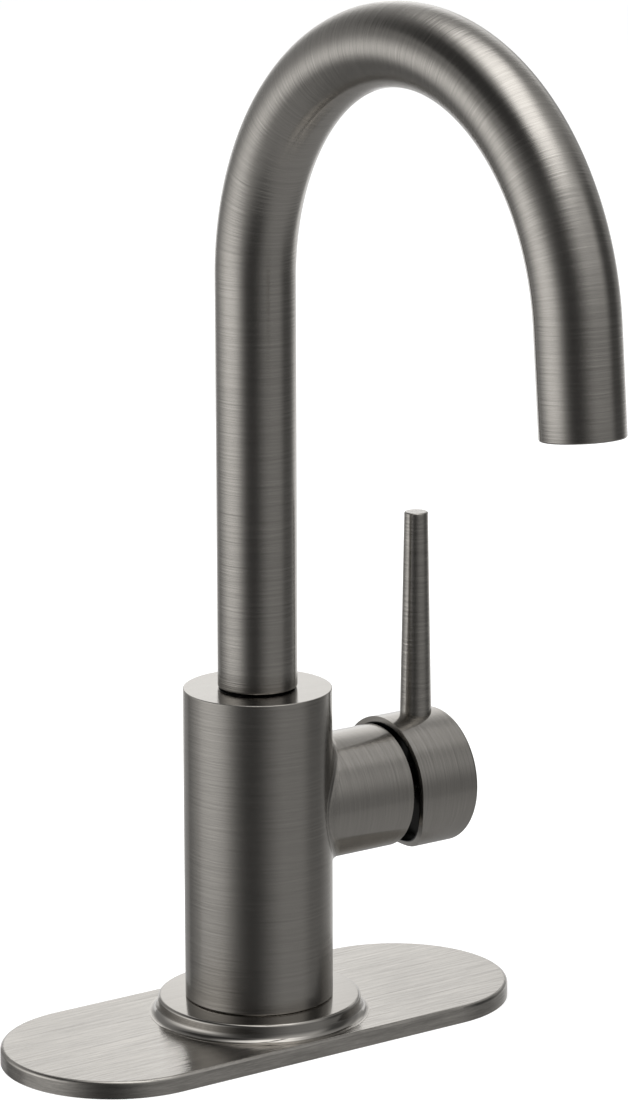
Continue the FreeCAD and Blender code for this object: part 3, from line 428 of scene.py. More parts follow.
@dataclass(frozen=True)
class BrushedGunmetal:
    """Dark satin metal with fine parallel strokes."""

    name: str
    brushing: Brushing
    tint: Triple = (0.385, 0.368, 0.344)
    roughness: float = 0.215
    anisotropy: float = 0.87
    face_roughness: float = 0.12
    slow: float = 36.0
    fast: float = 1500.0
    stroke_depth: float = 0.5
    furrow_depth: float = 0.00004
    axis_height: float = 63.1 * MM
    barrel_radius: float = 20.6 * MM
    painted_shade_bore_radius: float = 0.0
    bore_end: float = 60.5 * MM
    painted_shade_neck_top: float = 0.0
    bore_painted_shade: Triple = (0.02, 0.02, 0.019)
    neck_painted_shade: Triple = (0.008, 0.008, 0.008)
    scratch_glint: float = 0.05
    edge_gain: float = 1.35
    edge_share: float = 0.55
    stroke_dulling: float = 0.12
    handled_dulling: float = 0.03
    wall_furrows: float = 0.1
    boss_fade: tuple[float, float] = (0.6 * MM, 2.0 * MM)
    bore_edge: float = 0.2 * MM
    bore_fade: float = 0.8 * MM
    neck_fade: float = 0.03 * MM
    face_band: tuple[float, float] = (0.93, 0.99)
    face_lay: Triple = (0.0, 1.0, 0.25)
    face_slow: float = 0.8
    face_fast: float = 1.5

    def build(self, effects: EffectGroups) -> bpy.types.Material:
        """Make the material.

        Args:
            effects: The shared groups.

        Returns:
            The material.
        """
        material, bench = start_finish(self.name)
        place = self._place(bench)
        grain, lay = self._directions(bench, place)
        strokes = bench.group(effects.strokes, {"Position": place, "Strokes Per Metre": grain})
        handled = bench.group(effects.handling, {"Position": place})
        edges = bench.group(effects.edges, {"Position": place})

        line = bench.sum("SUBTRACT", strokes.outputs["Strokes"], NOISE_MEAN)
        level = bench.sum("ADD", 1.0, bench.sum("MULTIPLY", line, self.stroke_depth))
        level = bench.sum("ADD", level, bench.sum(
            "MULTIPLY", strokes.outputs["Scratches"], self.scratch_glint))
        metal = bench.vector("SCALE", self.tint, scale=level)
        # Paler edges: partly wear, partly a painted highlight along the crisp edges.
        colour = bench.blend(bench.sum("MULTIPLY", edges.outputs["Edge"], self.edge_share),
                             metal, wear_and_highlight_tint(self.tint, self.edge_gain))
        # Painted shade: the cup's bore is coloured near-black inside.
        if self.painted_shade_bore_radius > 0.0:
            colour = bench.blend(self._in_painted_bore_shade(bench, place), colour, (*self.bore_painted_shade, 1.0))
        # Painted shade: the tube's neck is coloured near-black where the seam at its foot lies in
        # shade.
        if self.painted_shade_neck_top > 0.0:
            colour = bench.blend(self._in_painted_neck_shade(bench, place), colour, (*self.neck_painted_shade, 1.0))

        dull = bench.remap(self._on_face(bench), 0.0, 1.0, self.roughness, self.face_roughness)
        dull = bench.sum("ADD", dull, bench.sum("MULTIPLY", line, self.stroke_dulling))
        drift = bench.sum("SUBTRACT", handled.outputs["Patches"], NOISE_MEAN)
        dull = bench.sum("ADD", dull, bench.sum("MULTIPLY", drift, self.handled_dulling))
        height = strokes.outputs["Furrows"]
        if self.brushing is Brushing.PLATE:
            height = bench.sum("MULTIPLY", height,
                               bench.remap(self._on_face(bench), 0.0, 1.0,
                                           self.wall_furrows, 1.0))
        surface = bench.surface(colour, dull, height, self.furrow_depth, metallic=1.0)
        surface.inputs["Anisotropic"].default_value = self.anisotropy
        bench.feed(surface.inputs["Tangent"], lay)
        return material

    def _place(self, bench: NodeBench) -> Socket:
        """Where a point lies on the piece, with a bent tube taken as straight.

        Args:
            bench: The material's bench.

        Returns:
            The position in metres.
        """
        if self.brushing is Brushing.SPOUT:
            run = bench.add("ShaderNodeAttribute", attribute_name="straight_run")
            return run.outputs["Vector"]
        return bench.add("ShaderNodeTexCoord").outputs["Object"]

    def _directions(self, bench: NodeBench, place: Socket) -> tuple[
            Union[Socket, Triple], Socket]:
        """The stroke counts on each axis, and the direction across the strokes.

        Args:
            bench: The material's bench.
            place: The position in metres.

        Returns:
            Strokes per metre on each axis, and the tangent.
        """
        flat_lay = bench.vector("NORMALIZE", self.face_lay)
        flat_fast = self.fast * self.face_fast
        flat_grain = (self.slow * self.face_slow, flat_fast, flat_fast)
        rings = (self.slow, self.slow, self.fast)
        if self.brushing is Brushing.PLATE:
            on_top = self._on_face(bench)
            grain = bench.blend(on_top, (*rings, 1.0), (*flat_grain, 1.0))
            lay = bench.blend(on_top, (0.0, 0.0, 1.0, 1.0), flat_lay)
            return grain, self._to_world(bench, lay)
        if self.brushing is Brushing.SPOUT:
            tangent = bench.add("ShaderNodeTangent", direction_type="UV_MAP", uv_map="unrolled")
            return rings, tangent.outputs["Tangent"]
        sideways = self._across(bench, place, (1.0, 0.0, 0.0), (0.0, 0.0, self.axis_height))
        hoops = (self.fast, self.slow, self.slow)
        if self.brushing is Brushing.HANDLE:
            return hoops, self._to_world(bench, sideways)
        upright = self._across(bench, place, (0.0, 0.0, 1.0), (0.0, 0.0, 0.0))
        on_face = self._on_face(bench)
        grain = bench.blend(on_face, (*rings, 1.0), (*flat_grain, 1.0))
        lay = bench.blend(on_face, upright, flat_lay)
        if self.brushing is Brushing.UPRIGHT:
            return grain, self._to_world(bench, lay)
        flat = bench.vector("MULTIPLY", place, (1.0, 1.0, 0.0))
        reach = bench.vector("LENGTH", flat)
        start, full = (self.barrel_radius + step for step in self.boss_fade)
        on_boss = bench.remap(reach, start, full, 0.0, 1.0)
        grain = bench.blend(on_boss, grain, (*hoops, 1.0))
        lay = bench.blend(on_boss, lay, sideways)
        return grain, self._to_world(bench, lay)

    def _in_painted_bore_shade(self, bench: NodeBench, place: Socket) -> Socket:
        """Where the cup's bore on the handle axis is coloured near-black as painted shade.

        Args:
            bench: The material's bench.
            place: The position in metres.

        Returns:
            A mask between 0 and 1.
        """
        arm = bench.vector("SUBTRACT", place, (0.0, 0.0, self.axis_height))
        reach = bench.vector("LENGTH", bench.vector("MULTIPLY", arm, (0.0, 1.0, 1.0)))
        near = bench.remap(reach, self.painted_shade_bore_radius, self.painted_shade_bore_radius + self.bore_edge, 1.0, 0.0)
        along = bench.vector("DOT_PRODUCT", place, (1.0, 0.0, 0.0))
        short = bench.remap(along, self.bore_end, self.bore_end + self.bore_fade, 1.0, 0.0)
        return bench.sum("MULTIPLY", near, short)

    def _in_painted_neck_shade(self, bench: NodeBench, place: Socket) -> Socket:
        """The neck at a tube's foot, coloured near-black as painted shade in its seam.

        Args:
            bench: The material's bench.
            place: The position in metres.

        Returns:
            A mask between 0 and 1.
        """
        height = bench.vector("DOT_PRODUCT", place, (0.0, 0.0, 1.0))
        return bench.remap(height, self.painted_shade_neck_top, self.painted_shade_neck_top + self.neck_fade, 1.0, 0.0)

    def _on_face(self, bench: NodeBench) -> Socket:
        """Where the piece has a level face, brushed straight instead of round.

        Args:
            bench: The material's bench.

        Returns:
            A mask between 0 and 1.
        """
        facing = bench.add("ShaderNodeTexCoord").outputs["Normal"]
        upward = bench.vector("DOT_PRODUCT", facing, (0.0, 0.0, 1.0))
        return bench.remap(bench.sum("ABSOLUTE", upward), *self.face_band, 0.0, 1.0)

    @staticmethod
    def _across(bench: NodeBench, place: Socket, axis: Triple, centre: Triple) -> Socket:
        """The direction across turned strokes, on walls and on end faces alike.

        Args:
            bench: The material's bench.
            place: The position in metres.
            axis: The turning axis.
            centre: A point on it.

        Returns:
            The axis plus the outward direction from it.
        """
        arm = bench.vector("SUBTRACT", place, centre)
        flat = bench.vector("MULTIPLY", arm, tuple(1.0 - part for part in axis))
        outward = bench.vector("NORMALIZE", flat)
        return bench.vector("ADD", outward, axis)

    @staticmethod
    def _to_world(bench: NodeBench, direction: Socket) -> Socket:
        """Turn an object direction into a world direction.

        Args:
            bench: The material's bench.
            direction: The direction on the piece.

        Returns:
            The same direction in the world.
        """
        turn = bench.add("ShaderNodeVectorTransform", vector_type="VECTOR",
                         convert_from="OBJECT", convert_to="WORLD")
        bench.feed(turn.inputs["Vector"], direction)
        return turn.outputs["Vector"]


@dataclass(frozen=True)
class PlainMetal:
    """Machined metal of the hidden and half-hidden pieces."""

    name: str
    tint: Triple
    roughness: float = 0.34
    lines: Triple = (60.0, 60.0, 420.0)
    line_depth: float = 0.6
    tarnish: Triple = (0.30, 0.26, 0.20)
    tarnish_share: float = 0.18
    patch_size: float = 12.0 * MM
    edge_gain: float = 1.2
    edge_share: float = 0.6
    handled_dulling: float = 0.12
    furrow_depth: float = 0.03 * MM

    def build(self, effects: EffectGroups) -> bpy.types.Material:
        """Make the material.

        Args:
            effects: The shared groups.

        Returns:
            The material.
        """
        material, bench = start_finish(self.name)
        place = bench.add("ShaderNodeTexCoord").outputs["Object"]
        strokes = bench.group(effects.strokes,
                              {"Position": place, "Strokes Per Metre": self.lines})
        handled = bench.group(effects.handling,
                              {"Position": place, "Patch Size": self.patch_size})
        edges = bench.group(effects.edges, {"Position": place})
        line = bench.sum("SUBTRACT", strokes.outputs["Strokes"], NOISE_MEAN)
        level = bench.sum("ADD", 1.0, bench.sum("MULTIPLY", line, self.line_depth))
        metal = bench.vector("SCALE", self.tint, scale=level)
        aged = bench.blend(bench.sum("MULTIPLY", handled.outputs["Patches"], self.tarnish_share),
                           metal, (*self.tarnish, 1.0))
        # Paler edges: partly wear, partly a painted highlight along the crisp edges.
        colour = bench.blend(bench.sum("MULTIPLY", edges.outputs["Edge"], self.edge_share),
                             aged, wear_and_highlight_tint(self.tint, self.edge_gain))
        dull = bench.sum("ADD", self.roughness,
                         bench.sum("MULTIPLY", handled.outputs["Patches"],
                                   self.handled_dulling))
        bench.surface(colour, dull, strokes.outputs["Furrows"], self.furrow_depth, metallic=1.0)
        return material


@dataclass(frozen=True)
class MouldedStuff:
    """Plastic, rubber, foam and ceramic: one body colour with a fine skin."""

    name: str
    tint: Triple
    roughness: float = 0.45
    skin_scale: float = 2600.0
    skin_octaves: float = 2.0
    skin_depth: float = 0.00002
    mottle: float = 0.12
    patch_size: float = 8.0 * MM
    edge_gain: float = 1.25
    edge_lift: float = 0.02
    edge_share: float = 0.35
    handled_dulling: float = 0.10

    def build(self, effects: EffectGroups) -> bpy.types.Material:
        """Make the material.

        Args:
            effects: The shared groups.

        Returns:
            The material.
        """
        material, bench = start_finish(self.name)
        place = bench.add("ShaderNodeTexCoord").outputs["Object"]
        handled = bench.group(effects.handling,
                              {"Position": place, "Patch Size": self.patch_size})
        edges = bench.group(effects.edges, {"Position": place})
        drift = bench.sum("SUBTRACT", handled.outputs["Patches"], NOISE_MEAN)
        level = bench.sum("ADD", 1.0, bench.sum("MULTIPLY", drift, self.mottle))
        paint = bench.vector("SCALE", self.tint, scale=level)
        # Paler edges: partly wear, partly a painted highlight along the crisp edges.
        colour = bench.blend(bench.sum("MULTIPLY", edges.outputs["Edge"], self.edge_share),
                             paint, wear_and_highlight_tint(self.tint, self.edge_gain, self.edge_lift))
        dull = bench.sum("ADD", self.roughness,
                         bench.sum("MULTIPLY", drift, self.handled_dulling))
        skin = bench.noise(place, self.skin_scale, self.skin_octaves)
        bench.surface(colour, dull, skin, self.skin_depth)
        return material


@dataclass
class Camera:
    """The photograph's viewpoint."""

    turn: float = -35.779
    pitch: float = 12.961
    roll: float = -0.148
    right: float = 15.61 * MM
    back: float = 1170.9 * MM
    up: float = 405.98 * MM
    lens: float = 144.04
    sensor: float = 36.0
    nearest: float = 0.05
    farthest: float = 60.0

    def side(self) -> Vector:
        """Level direction to the right of the view."""
        angle = math.radians(self.turn)
        return Vector((math.cos(angle), math.sin(angle), 0.0))

    def ahead(self) -> Vector:
        """Level direction of the view."""
        angle = math.radians(self.turn)
        return Vector((-math.sin(angle), math.cos(angle), 0.0))

    def build(self) -> bpy.types.Object:
        """Place the camera.

        Returns:
            The camera object.
        """
        data = bpy.data.cameras.new("photo_camera")
        data.sensor_fit = "AUTO"
        data.sensor_width = self.sensor
        data.lens = self.lens
        data.clip_start = self.nearest
        data.clip_end = self.farthest
        camera = stand("photo_camera", data)
        place = self.side() * self.right - self.ahead() * self.back + Vector((0, 0, self.up))
        tilt = Matrix.Rotation(math.radians(90.0 - self.pitch), 4, "X")
        spin = Matrix.Rotation(math.radians(self.turn), 4, "Z")
        lean = Matrix.Rotation(math.radians(self.roll), 4, "Z")
        camera.matrix_world = Matrix.Translation(place) @ spin @ tilt @ lean
        bpy.context.scene.camera = camera
        log.info("camera at %s", tuple(round(part, 3) for part in place))
        return camera


@dataclass(frozen=True)
class Card:
    """One flag, fill or softbox of the studio wall, by its direction.

    Turn is measured from the camera's side, to the right, and rise from the horizon.
    """

    name: str
    turn: float
    half_width: float
    softness: float
    level: float
    low: float = -90.0
    high: float = 90.0
    rise_softness: float = 12.0

    def share(self, turn: float, rise: float) -> float:
        """How much of this card a direction meets.

        Args:
            turn: The direction's turn in degrees.
            rise: Its rise in degrees.

        Returns:
            The share between 0 and 1.
        """
        off = abs((turn - self.turn + 180.0) % 360.0 - 180.0)
        across = 1.0 - smooth(off, self.half_width, self.half_width + self.softness)
        above = smooth(rise, self.low - self.rise_softness, self.low)
        below = 1.0 - smooth(rise, self.high, self.high + self.rise_softness)
        return across * above * below


@dataclass(frozen=True)
class CeilingSoftbox:
    """The rectangular softbox overhead, by its reach for each metre of height."""

    name: str
    left: float
    right: float
    front: float
    back: float
    softness: float
    level: float
    lowest: float = 5.0
    steepest: float = 89.9

    def share(self, turn: float, rise: float) -> float:
        """How much of the softbox a direction meets.

        Args:
            turn: The direction's turn in degrees.
            rise: Its rise in degrees.

        Returns:
            The share between 0 and 1.
        """
        if rise < self.lowest:
            return 0.0
        reach = 1.0 / math.tan(math.radians(min(rise, self.steepest)))
        across = reach * math.sin(math.radians(turn))
        along = reach * math.cos(math.radians(turn))
        share = 1.0 - smooth(-across, self.left, self.left + self.softness)
        share *= 1.0 - smooth(across, self.right, self.right + self.softness)
        share *= 1.0 - smooth(along, self.front, self.front + self.softness)
        return share * (1.0 - smooth(-along, self.back, self.back + self.softness))


@dataclass
class Studio:
    """Pale floor, white surround, soft lamps and the cards that the metal mirrors."""

    camera: Camera
    wall_radius: float = 1.4
    wall_level: float = 0.30
    turn_step: int = 3
    rise_step: int = 3
    opening_turn: float = 26.0
    opening_low: float = -10.0
    opening_high: float = 9.0
    surround_light: float = 0.62
    floor_radius: float = 12.0
    floor_paint: float = 0.62
    floor_glow: float = 0.55
    floor_sides: int = 96
    card_tint: Triple = (1.0, 0.995, 0.985)
    lamp_aim: Triple = (0.0, 0.0, 0.12)
    lamps: tuple[tuple[str, Triple, float, float], ...] = (
        ("key_softbox", (-1.3, -0.5, 1.6), 1.2, 20.0),
        ("fill_softbox", (1.5, -1.1, 1.2), 1.4, 11.0),
        ("top_softbox", (0.1, 0.5, 2.1), 1.6, 17.0),
    )
    cards: tuple[Union[Card, CeilingSoftbox], ...] = (
        Card("floor sweep", 0.0, 180.0, 1.0, 0.35, high=-19.0, rise_softness=7.0),
        Card("left back wall", -146.0, 29.0, 18.0, 0.35, low=-69.0, high=27.0,
             rise_softness=7.0),
        Card("upper right wall", 63.0, 29.0, 59.0, 0.71, low=38.5, high=61.0,
             rise_softness=40.0),
        Card("upper right sweep", 25.0, 18.0, 55.0, 2.2, low=59.0, high=85.0,
             rise_softness=10.0),
        Card("upper left flag", -61.5, 36.5, 60.0, 0.06, low=43.5, high=60.5,
             rise_softness=7.0),
        Card("low left flag", -118.0, 14.0, 7.0, 0.17, low=-63.0, high=-10.0,
             rise_softness=6.0),
        Card("left softbox", -77.0, 1.0, 60.0, 1.49, low=4.0, high=5.0,
             rise_softness=28.5),
        Card("camera flag", -8.5, 2.0, 50.0, 0.07, low=-36.0, high=35.0,
             rise_softness=6.0),
        Card("right flag", 99.5, 7.0, 25.0, 0.10, low=4.5, high=25.5,
             rise_softness=40.0),
        Card("right back strip", 167.0, 24.0, 24.0, 1.02, low=-8.0, high=-5.0,
             rise_softness=6.0),
        Card("back softbox", 172.5, 10.0, 29.0, 1.38, low=9.5, high=20.5,
             rise_softness=40.0),
        Card("right back flag", 156.0, 6.0, 19.0, 0.42, low=7.0, high=19.0,
             rise_softness=9.0),
        CeilingSoftbox("ceiling softbox", 0.04, 0.17, 0.04, 0.14, 0.37, 2.2),
    )

    def level(self, turn: float, rise: float) -> float:
        """Light that comes from one direction of the wall.

        Args:
            turn: Degrees from the camera's side.
            rise: Degrees above the horizon.

        Returns:
            The emitted level, where white is 1.
        """
        total = self.wall_level
        for card in self.cards:
            share = card.share(turn, rise)
            total = total * (1.0 - share) + card.level * share
        return total

    def build(self) -> None:
        """Set the whole studio."""
        self._world()
        self._floor()
        self._wall()
        for lamp in self.lamps:
            self._lamp(*lamp)
        bpy.context.scene.view_settings.view_transform = "Standard"
        log.info("studio set with %d cards", len(self.cards))

    def _world(self) -> None:
        """White for every ray that shows the surround, softer for the light it gives."""
        world = bpy.data.worlds.new("white_surround")
        bpy.context.scene.world = world
        world.use_nodes = True
        bench = NodeBench(world.node_tree)
        strength = bench.remap(bench.shown_rays(), 0.0, 1.0, self.surround_light, 1.0,
                               smooth_ends=False)
        surround = bench.add("ShaderNodeBackground")
        surround.inputs["Color"].default_value = (1.0, 1.0, 1.0, 1.0)
        bench.feed(surround.inputs["Strength"], strength)
        end = bench.add("ShaderNodeOutputWorld")
        bench.feed(end.inputs["Surface"], surround.outputs["Background"])

    def _floor(self) -> None:
        """Pale floor at the deck's height, seen through from below."""
        mesh = bpy.data.meshes.new("studio_floor")
        work = bmesh.new()
        bmesh.ops.create_circle(work, cap_ends=True, segments=self.floor_sides,
                                radius=self.floor_radius)
        work.to_mesh(mesh)
        work.free()
        floor = stand("studio_floor", mesh)
        floor.visible_glossy = False
        material, bench = start_finish("pale_floor")
        paint = bench.add("ShaderNodeBsdfDiffuse")
        paint.inputs["Color"].default_value = (*(self.floor_paint,) * 3, 1.0)
        glow = bench.add("ShaderNodeEmission")
        bench.feed(glow.inputs["Strength"],
                   bench.sum("MULTIPLY", bench.shown_rays(), self.floor_glow))
        both = bench.add("ShaderNodeAddShader")
        bench.feed(both.inputs[0], paint.outputs["BSDF"])
        bench.feed(both.inputs[1], glow.outputs["Emission"])
        clear = bench.add("ShaderNodeBsdfTransparent")
        side = bench.add("ShaderNodeNewGeometry")
        pick = bench.add("ShaderNodeMixShader")
        bench.feed(pick.inputs["Fac"], side.outputs["Backfacing"])
        bench.feed(pick.inputs[1], both.outputs["Shader"])
        bench.feed(pick.inputs[2], clear.outputs["BSDF"])
        bench.end(pick.outputs["Shader"])
        mesh.materials.append(material)

    def _wall(self) -> None:
        """Graded wall all round, open to the white surround behind the object."""
        work = bmesh.new()
        shade = work.verts.layers.float_color.new("card_level")
        side, ahead = self.camera.side(), self.camera.ahead()
        rows = []
        for rise in range(-90, 91, self.rise_step):
            row = []
            for turn in range(-180, 180, self.turn_step):
                around = -ahead * math.cos(math.radians(turn)) + side * math.sin(math.radians(turn))
                flat = math.cos(math.radians(rise))
                place = around * flat + Vector((0, 0, math.sin(math.radians(rise))))
                vert = work.verts.new(place * self.wall_radius)
                level = self.level(float(turn), float(rise))
                vert[shade] = (*(level * channel for channel in self.card_tint), 1.0)
                row.append(vert)
            rows.append(row)
        count = len(rows[0])
        for number, (lower, upper) in enumerate(zip(rows, rows[1:])):
            rise = -90 + (number + 0.5) * self.rise_step
            for i in range(count):
                turn = -180 + (i + 0.5) * self.turn_step
                shows_white = self.opening_low < rise < self.opening_high
                if shows_white and 180.0 - abs(turn) < self.opening_turn:
                    continue
                j = (i + 1) % count
                work.faces.new((lower[i], lower[j], upper[j], upper[i]))
        mesh = bpy.data.meshes.new("studio_wall")
        work.to_mesh(mesh)
        work.free()
        wall = stand("studio_wall", mesh)
        for ray in ("camera", "diffuse", "transmission", "volume_scatter", "shadow"):
            setattr(wall, f"visible_{ray}", False)
        material, bench = start_finish("graded_cards")
        read = bench.add("ShaderNodeAttribute", attribute_name="card_level")
        glow = bench.add("ShaderNodeEmission")
        bench.feed(glow.inputs["Color"], read.outputs["Color"])
        bench.end(glow.outputs["Emission"])
        mesh.materials.append(material)

    def _lamp(self, name: str, place: Triple, size: float, power: float) -> None:
        """Add one soft lamp aimed at the object.

        Args:
            name: The lamp's name.
            place: Where it stands, in metres.
            size: Its side, in metres.
            power: Its power in watts.
        """
        data = bpy.data.lights.new(name, "AREA")
        data.size = size
        data.energy = power
        lamp = stand(name, data)
        lamp.location = place
        aim = Vector(self.lamp_aim) - Vector(place)
        lamp.rotation_euler = aim.to_track_quat("-Z", "Y").to_euler()
        lamp.visible_camera = False
        lamp.visible_glossy = False


Ring = list[bmesh.types.BMVert]


def spin_ring(work: bmesh.types.BMesh, centre: tuple[float, float], reaches: Sequence[float],
              height: float) -> Ring:
    """Add one level ring of points round an upright axis.

    Args:
        work: The mesh under construction.
        centre: Where the axis stands.
        reaches: The distance of each point from it.
        height: The ring's height.

    Returns:
        The ring's points.
    """
    ring = []
    for i, reach in enumerate(reaches):
        angle = 2 * math.pi * i / len(reaches)
        ring.append(work.verts.new((centre[0] + reach * math.cos(angle),
                                    centre[1] + reach * math.sin(angle), height)))
    return ring


def join_rings(work: bmesh.types.BMesh, rings: Sequence[Ring], smooth_faces: bool = True) -> None:
    """Join each ring to the next with a band of faces.

    Args:
        work: The mesh under construction.
        rings: The rings in order, the first one again at the end if the shape closes.
        smooth_faces: Whether the bands are shaded smooth.
    """
    for lower, upper in zip(rings, rings[1:]):
        for i in range(len(lower)):
            j = (i + 1) % len(lower)
            face = work.faces.new((lower[i], lower[j], upper[j], upper[i]))
            face.smooth = smooth_faces


def finish_mesh(work: bmesh.types.BMesh, name: str,
                crisp: Optional[float] = None) -> bpy.types.Mesh:
    """Turn all faces outwards and write the mesh.

    Args:
        work: The mesh under construction, freed here.
        name: The mesh's name.
        crisp: Degrees above which an edge stays sharp, if any does.

    Returns:
        The mesh.
    """
    bmesh.ops.recalc_face_normals(work, faces=work.faces)
    if crisp is not None:
        for edge in work.edges:
            edge.smooth = edge.calc_face_angle(0.0) < math.radians(crisp)
    mesh = bpy.data.meshes.new(name)
    work.to_mesh(mesh)
    work.free()
    return mesh


def dress(node: str, material: bpy.types.Material) -> None:
    """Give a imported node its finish.

    Args:
        node: The node's name.
        material: The finish.
    """
    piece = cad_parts[node]
    if not piece.data.materials:
        piece.data.materials.append(material)
    for holder in piece.material_slots:
        holder.material = material
    log.info("dressed %s in %s", node, material.name)


def settle_piece(name: str, mesh: bpy.types.Mesh, material: bpy.types.Material, body: str,
                 stands_for: Sequence[str]) -> bpy.types.Object:
    """Put a new piece in the scene, on its body and in place of its nodes.

    Args:
        name: The piece's name.
        mesh: Its mesh, in the frame's metres.
        material: Its finish.
        body: The body that it rides on.
        stands_for: The nodes that it replaces.

    Returns:
        The new object.
    """
    mesh.materials.clear()
    mesh.materials.append(material)
    piece = stand(name, mesh)
    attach(piece, body)
    if stands_for:
        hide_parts(*stands_for)
    log.info("built %s on %s", name, body)
    return piece


@dataclass
class GooseneckTube:
    """The bent spout tube, from inside the body to its square-cut outlet."""

    outer: float = 11.0 * MM
    inner: float = 9.8 * MM
    foot: float = 92.5 * MM
    bend_height: float = 211.8 * MM
    bend_radius: float = 68.7 * MM
    bend_angle: float = 174.8
    tail: float = 27.8 * MM
    lip: float = 0.45 * MM
    neck: float = 10.4 * MM
    neck_top: float = 98.4 * MM
    neck_ease: float = 0.3 * MM
    neck_flare: float = 0.04 * MM
    foot_round: float = 0.5 * MM
    bead_share: float = 0.5
    sides: int = 128
    bend_steps: int = 140
    straight_steps: int = 12
    tail_steps: int = 4
    lip_steps: int = 5
    bead_steps: int = 4
    foot_steps: int = 6

    def stations(self) -> list[tuple[float, Vector, float]]:
        """Points along the centre line.

        Returns:
            Distance along the tube, centre and lean in radians of each station.
        """
        rise = self.bend_height - self.foot
        turn = math.radians(self.bend_angle)
        straight = self.neck_top + self.foot_round
        found = []
        for i in range(self.straight_steps + 1):
            height = straight + (self.bend_height - straight) * i / self.straight_steps
            found.append((height - self.foot, Vector((0, 0, height)), 0.0))
        for i in range(1, self.bend_steps + 1):
            angle = turn * i / self.bend_steps
            centre = Vector((0, -self.bend_radius + self.bend_radius * math.cos(angle),
                             self.bend_height + self.bend_radius * math.sin(angle)))
            found.append((rise + self.bend_radius * angle, centre, angle))
        start = found[-1]
        along = Vector((0, -math.sin(turn), math.cos(turn)))
        for i in range(1, self.tail_steps + 1):
            step = (self.tail - self.lip) * i / self.tail_steps
            found.append((start[0] + step, start[1] + along * step, turn))
        return found

    def build(self, material: bpy.types.Material) -> bpy.types.Object:
        """Sweep the wall, with a rounded lip at the outlet.

        Args:
            material: The finish.

        Returns:
            The tube.
        """
        stations = self.stations()
        rings = self._necked_foot()
        rings += [(run, centre, lean, self.outer) for run, centre, lean in stations]
        run, centre, lean = stations[-1]
        along = Vector((0, -math.sin(lean), math.cos(lean)))
        for i in range(1, self.lip_steps + 1):
            angle = math.pi / 2 * i / self.lip_steps
            drop = self.lip * math.sin(angle)
            rings.append((run + drop, centre + along * drop, lean,
                          self.outer - self.lip * (1.0 - math.cos(angle))))
        tip = centre + along * self.lip
        bead = self.lip * self.bead_share
        for i in range(self.bead_steps + 1):
            angle = math.pi / 2 * i / self.bead_steps
            drop = bead * (1.0 - math.cos(angle))
            rings.append((run + self.lip + bead * math.sin(angle), tip - along * drop, lean,
                          self.inner + bead * (1.0 - math.sin(angle))))
        end = 2 * run + self.lip
        rings += [(end - at, mid, tilt, self.inner) for at, mid, tilt in reversed(stations)]
        rings.append((end, Vector((0, 0, self.foot)), 0.0, self.inner))
        mesh = self._skin(rings)
        return settle_piece("spout_tube_brushed", mesh, material, "spout",
                            ["spout_tube"])

    def _necked_foot(self) -> list[tuple[float, Vector, float, float]]:
        """The foot, necked to enter the body, with the rounded shoulder above it.

        Returns:
            Run, centre, lean and radius of each ring below the plain wall.
        """
        profile = [(self.foot, self.neck), (self.neck_top - self.neck_ease, self.neck),
                   (self.neck_top, self.neck + self.neck_flare),
                   (self.neck_top, self.outer - self.foot_round)]
        for i in range(1, self.foot_steps):
            angle = math.pi / 2 * i / self.foot_steps
            profile.append((self.neck_top + self.foot_round * (1.0 - math.cos(angle)),
                            self.outer - self.foot_round * (1.0 - math.sin(angle))))
        return [(height - self.foot, Vector((0, 0, height)), 0.0, radius)
                for height, radius in profile]

    def _skin(self, rings: Sequence[tuple[float, Vector, float, float]]) -> bpy.types.Mesh:
        """Join rings into one closed wall with its unrolled map.

        Args:
            rings: Run, centre, lean and radius of each ring.

        Returns:
            The mesh.
        """
        work = bmesh.new()
        straight = work.verts.layers.float_vector.new("straight_run")
        unrolled = work.loops.layers.uv.new("unrolled")
        rows = []
        for run, centre, lean, radius in rings:
            up = Vector((0, math.cos(lean), math.sin(lean)))
            row = []
            for i in range(self.sides):
                angle = 2 * math.pi * i / self.sides
                arm = Vector((1, 0, 0)) * math.cos(angle) + up * math.sin(angle)
                vert = work.verts.new(centre + arm * radius)
                vert[straight] = Vector((radius * math.cos(angle), radius * math.sin(angle),
                                         run + self.foot))
                row.append(vert)
            rows.append(row)
        rows.append(rows[0])
        runs = [ring[0] for ring in rings] + [2 * rings[-1][0] - rings[0][0]]
        for number, (first, second) in enumerate(zip(rows, rows[1:])):
            for i in range(self.sides):
                j = (i + 1) % self.sides
                face = work.faces.new((first[i], first[j], second[j], second[i]))
                face.smooth = True
                places = ((i, number), (i + 1, number), (i + 1, number + 1), (i, number + 1))
                for loop, (side, level) in zip(face.loops, places):
                    loop[unrolled].uv = (runs[level], side / self.sides)
        return finish_mesh(work, "spout_tube_brushed")


@dataclass(frozen=True)
class Turning:
    """A turned shape: a closed outline spun round an upright axis."""

    name: str
    outline: tuple[tuple[float, float], ...]
    sides: int = 160
    crisp: float = 28.0

    def skin(self) -> bpy.types.Mesh:
        """Spin the outline.

        Returns:
            The mesh, smooth across soft bends and sharp at crisp corners.
        """
        work = bmesh.new()
        rings = [spin_ring(work, (0.0, 0.0), [radius] * self.sides, height)
                 for radius, height in self.outline]
        join_rings(work, rings + rings[:1])
        return finish_mesh(work, self.name, self.crisp)


def arc(centre: tuple[float, float], radius: float, start: float, end: float,
        steps: int) -> list[tuple[float, float]]:
    """Points of an outline's arc.

    Args:
        centre: Radius and height of its centre.
        radius: The arc's own radius.
        start: First angle in degrees, 0 pointing outwards and 90 up.
        end: Last angle in degrees.
        steps: How many spans it is cut into.

    Returns:
        The points from start to end.
    """
    found = []
    for i in range(steps + 1):
        angle = math.radians(start + (end - start) * i / steps)
        found.append((centre[0] + radius * math.cos(angle), centre[1] + radius * math.sin(angle)))
    return found


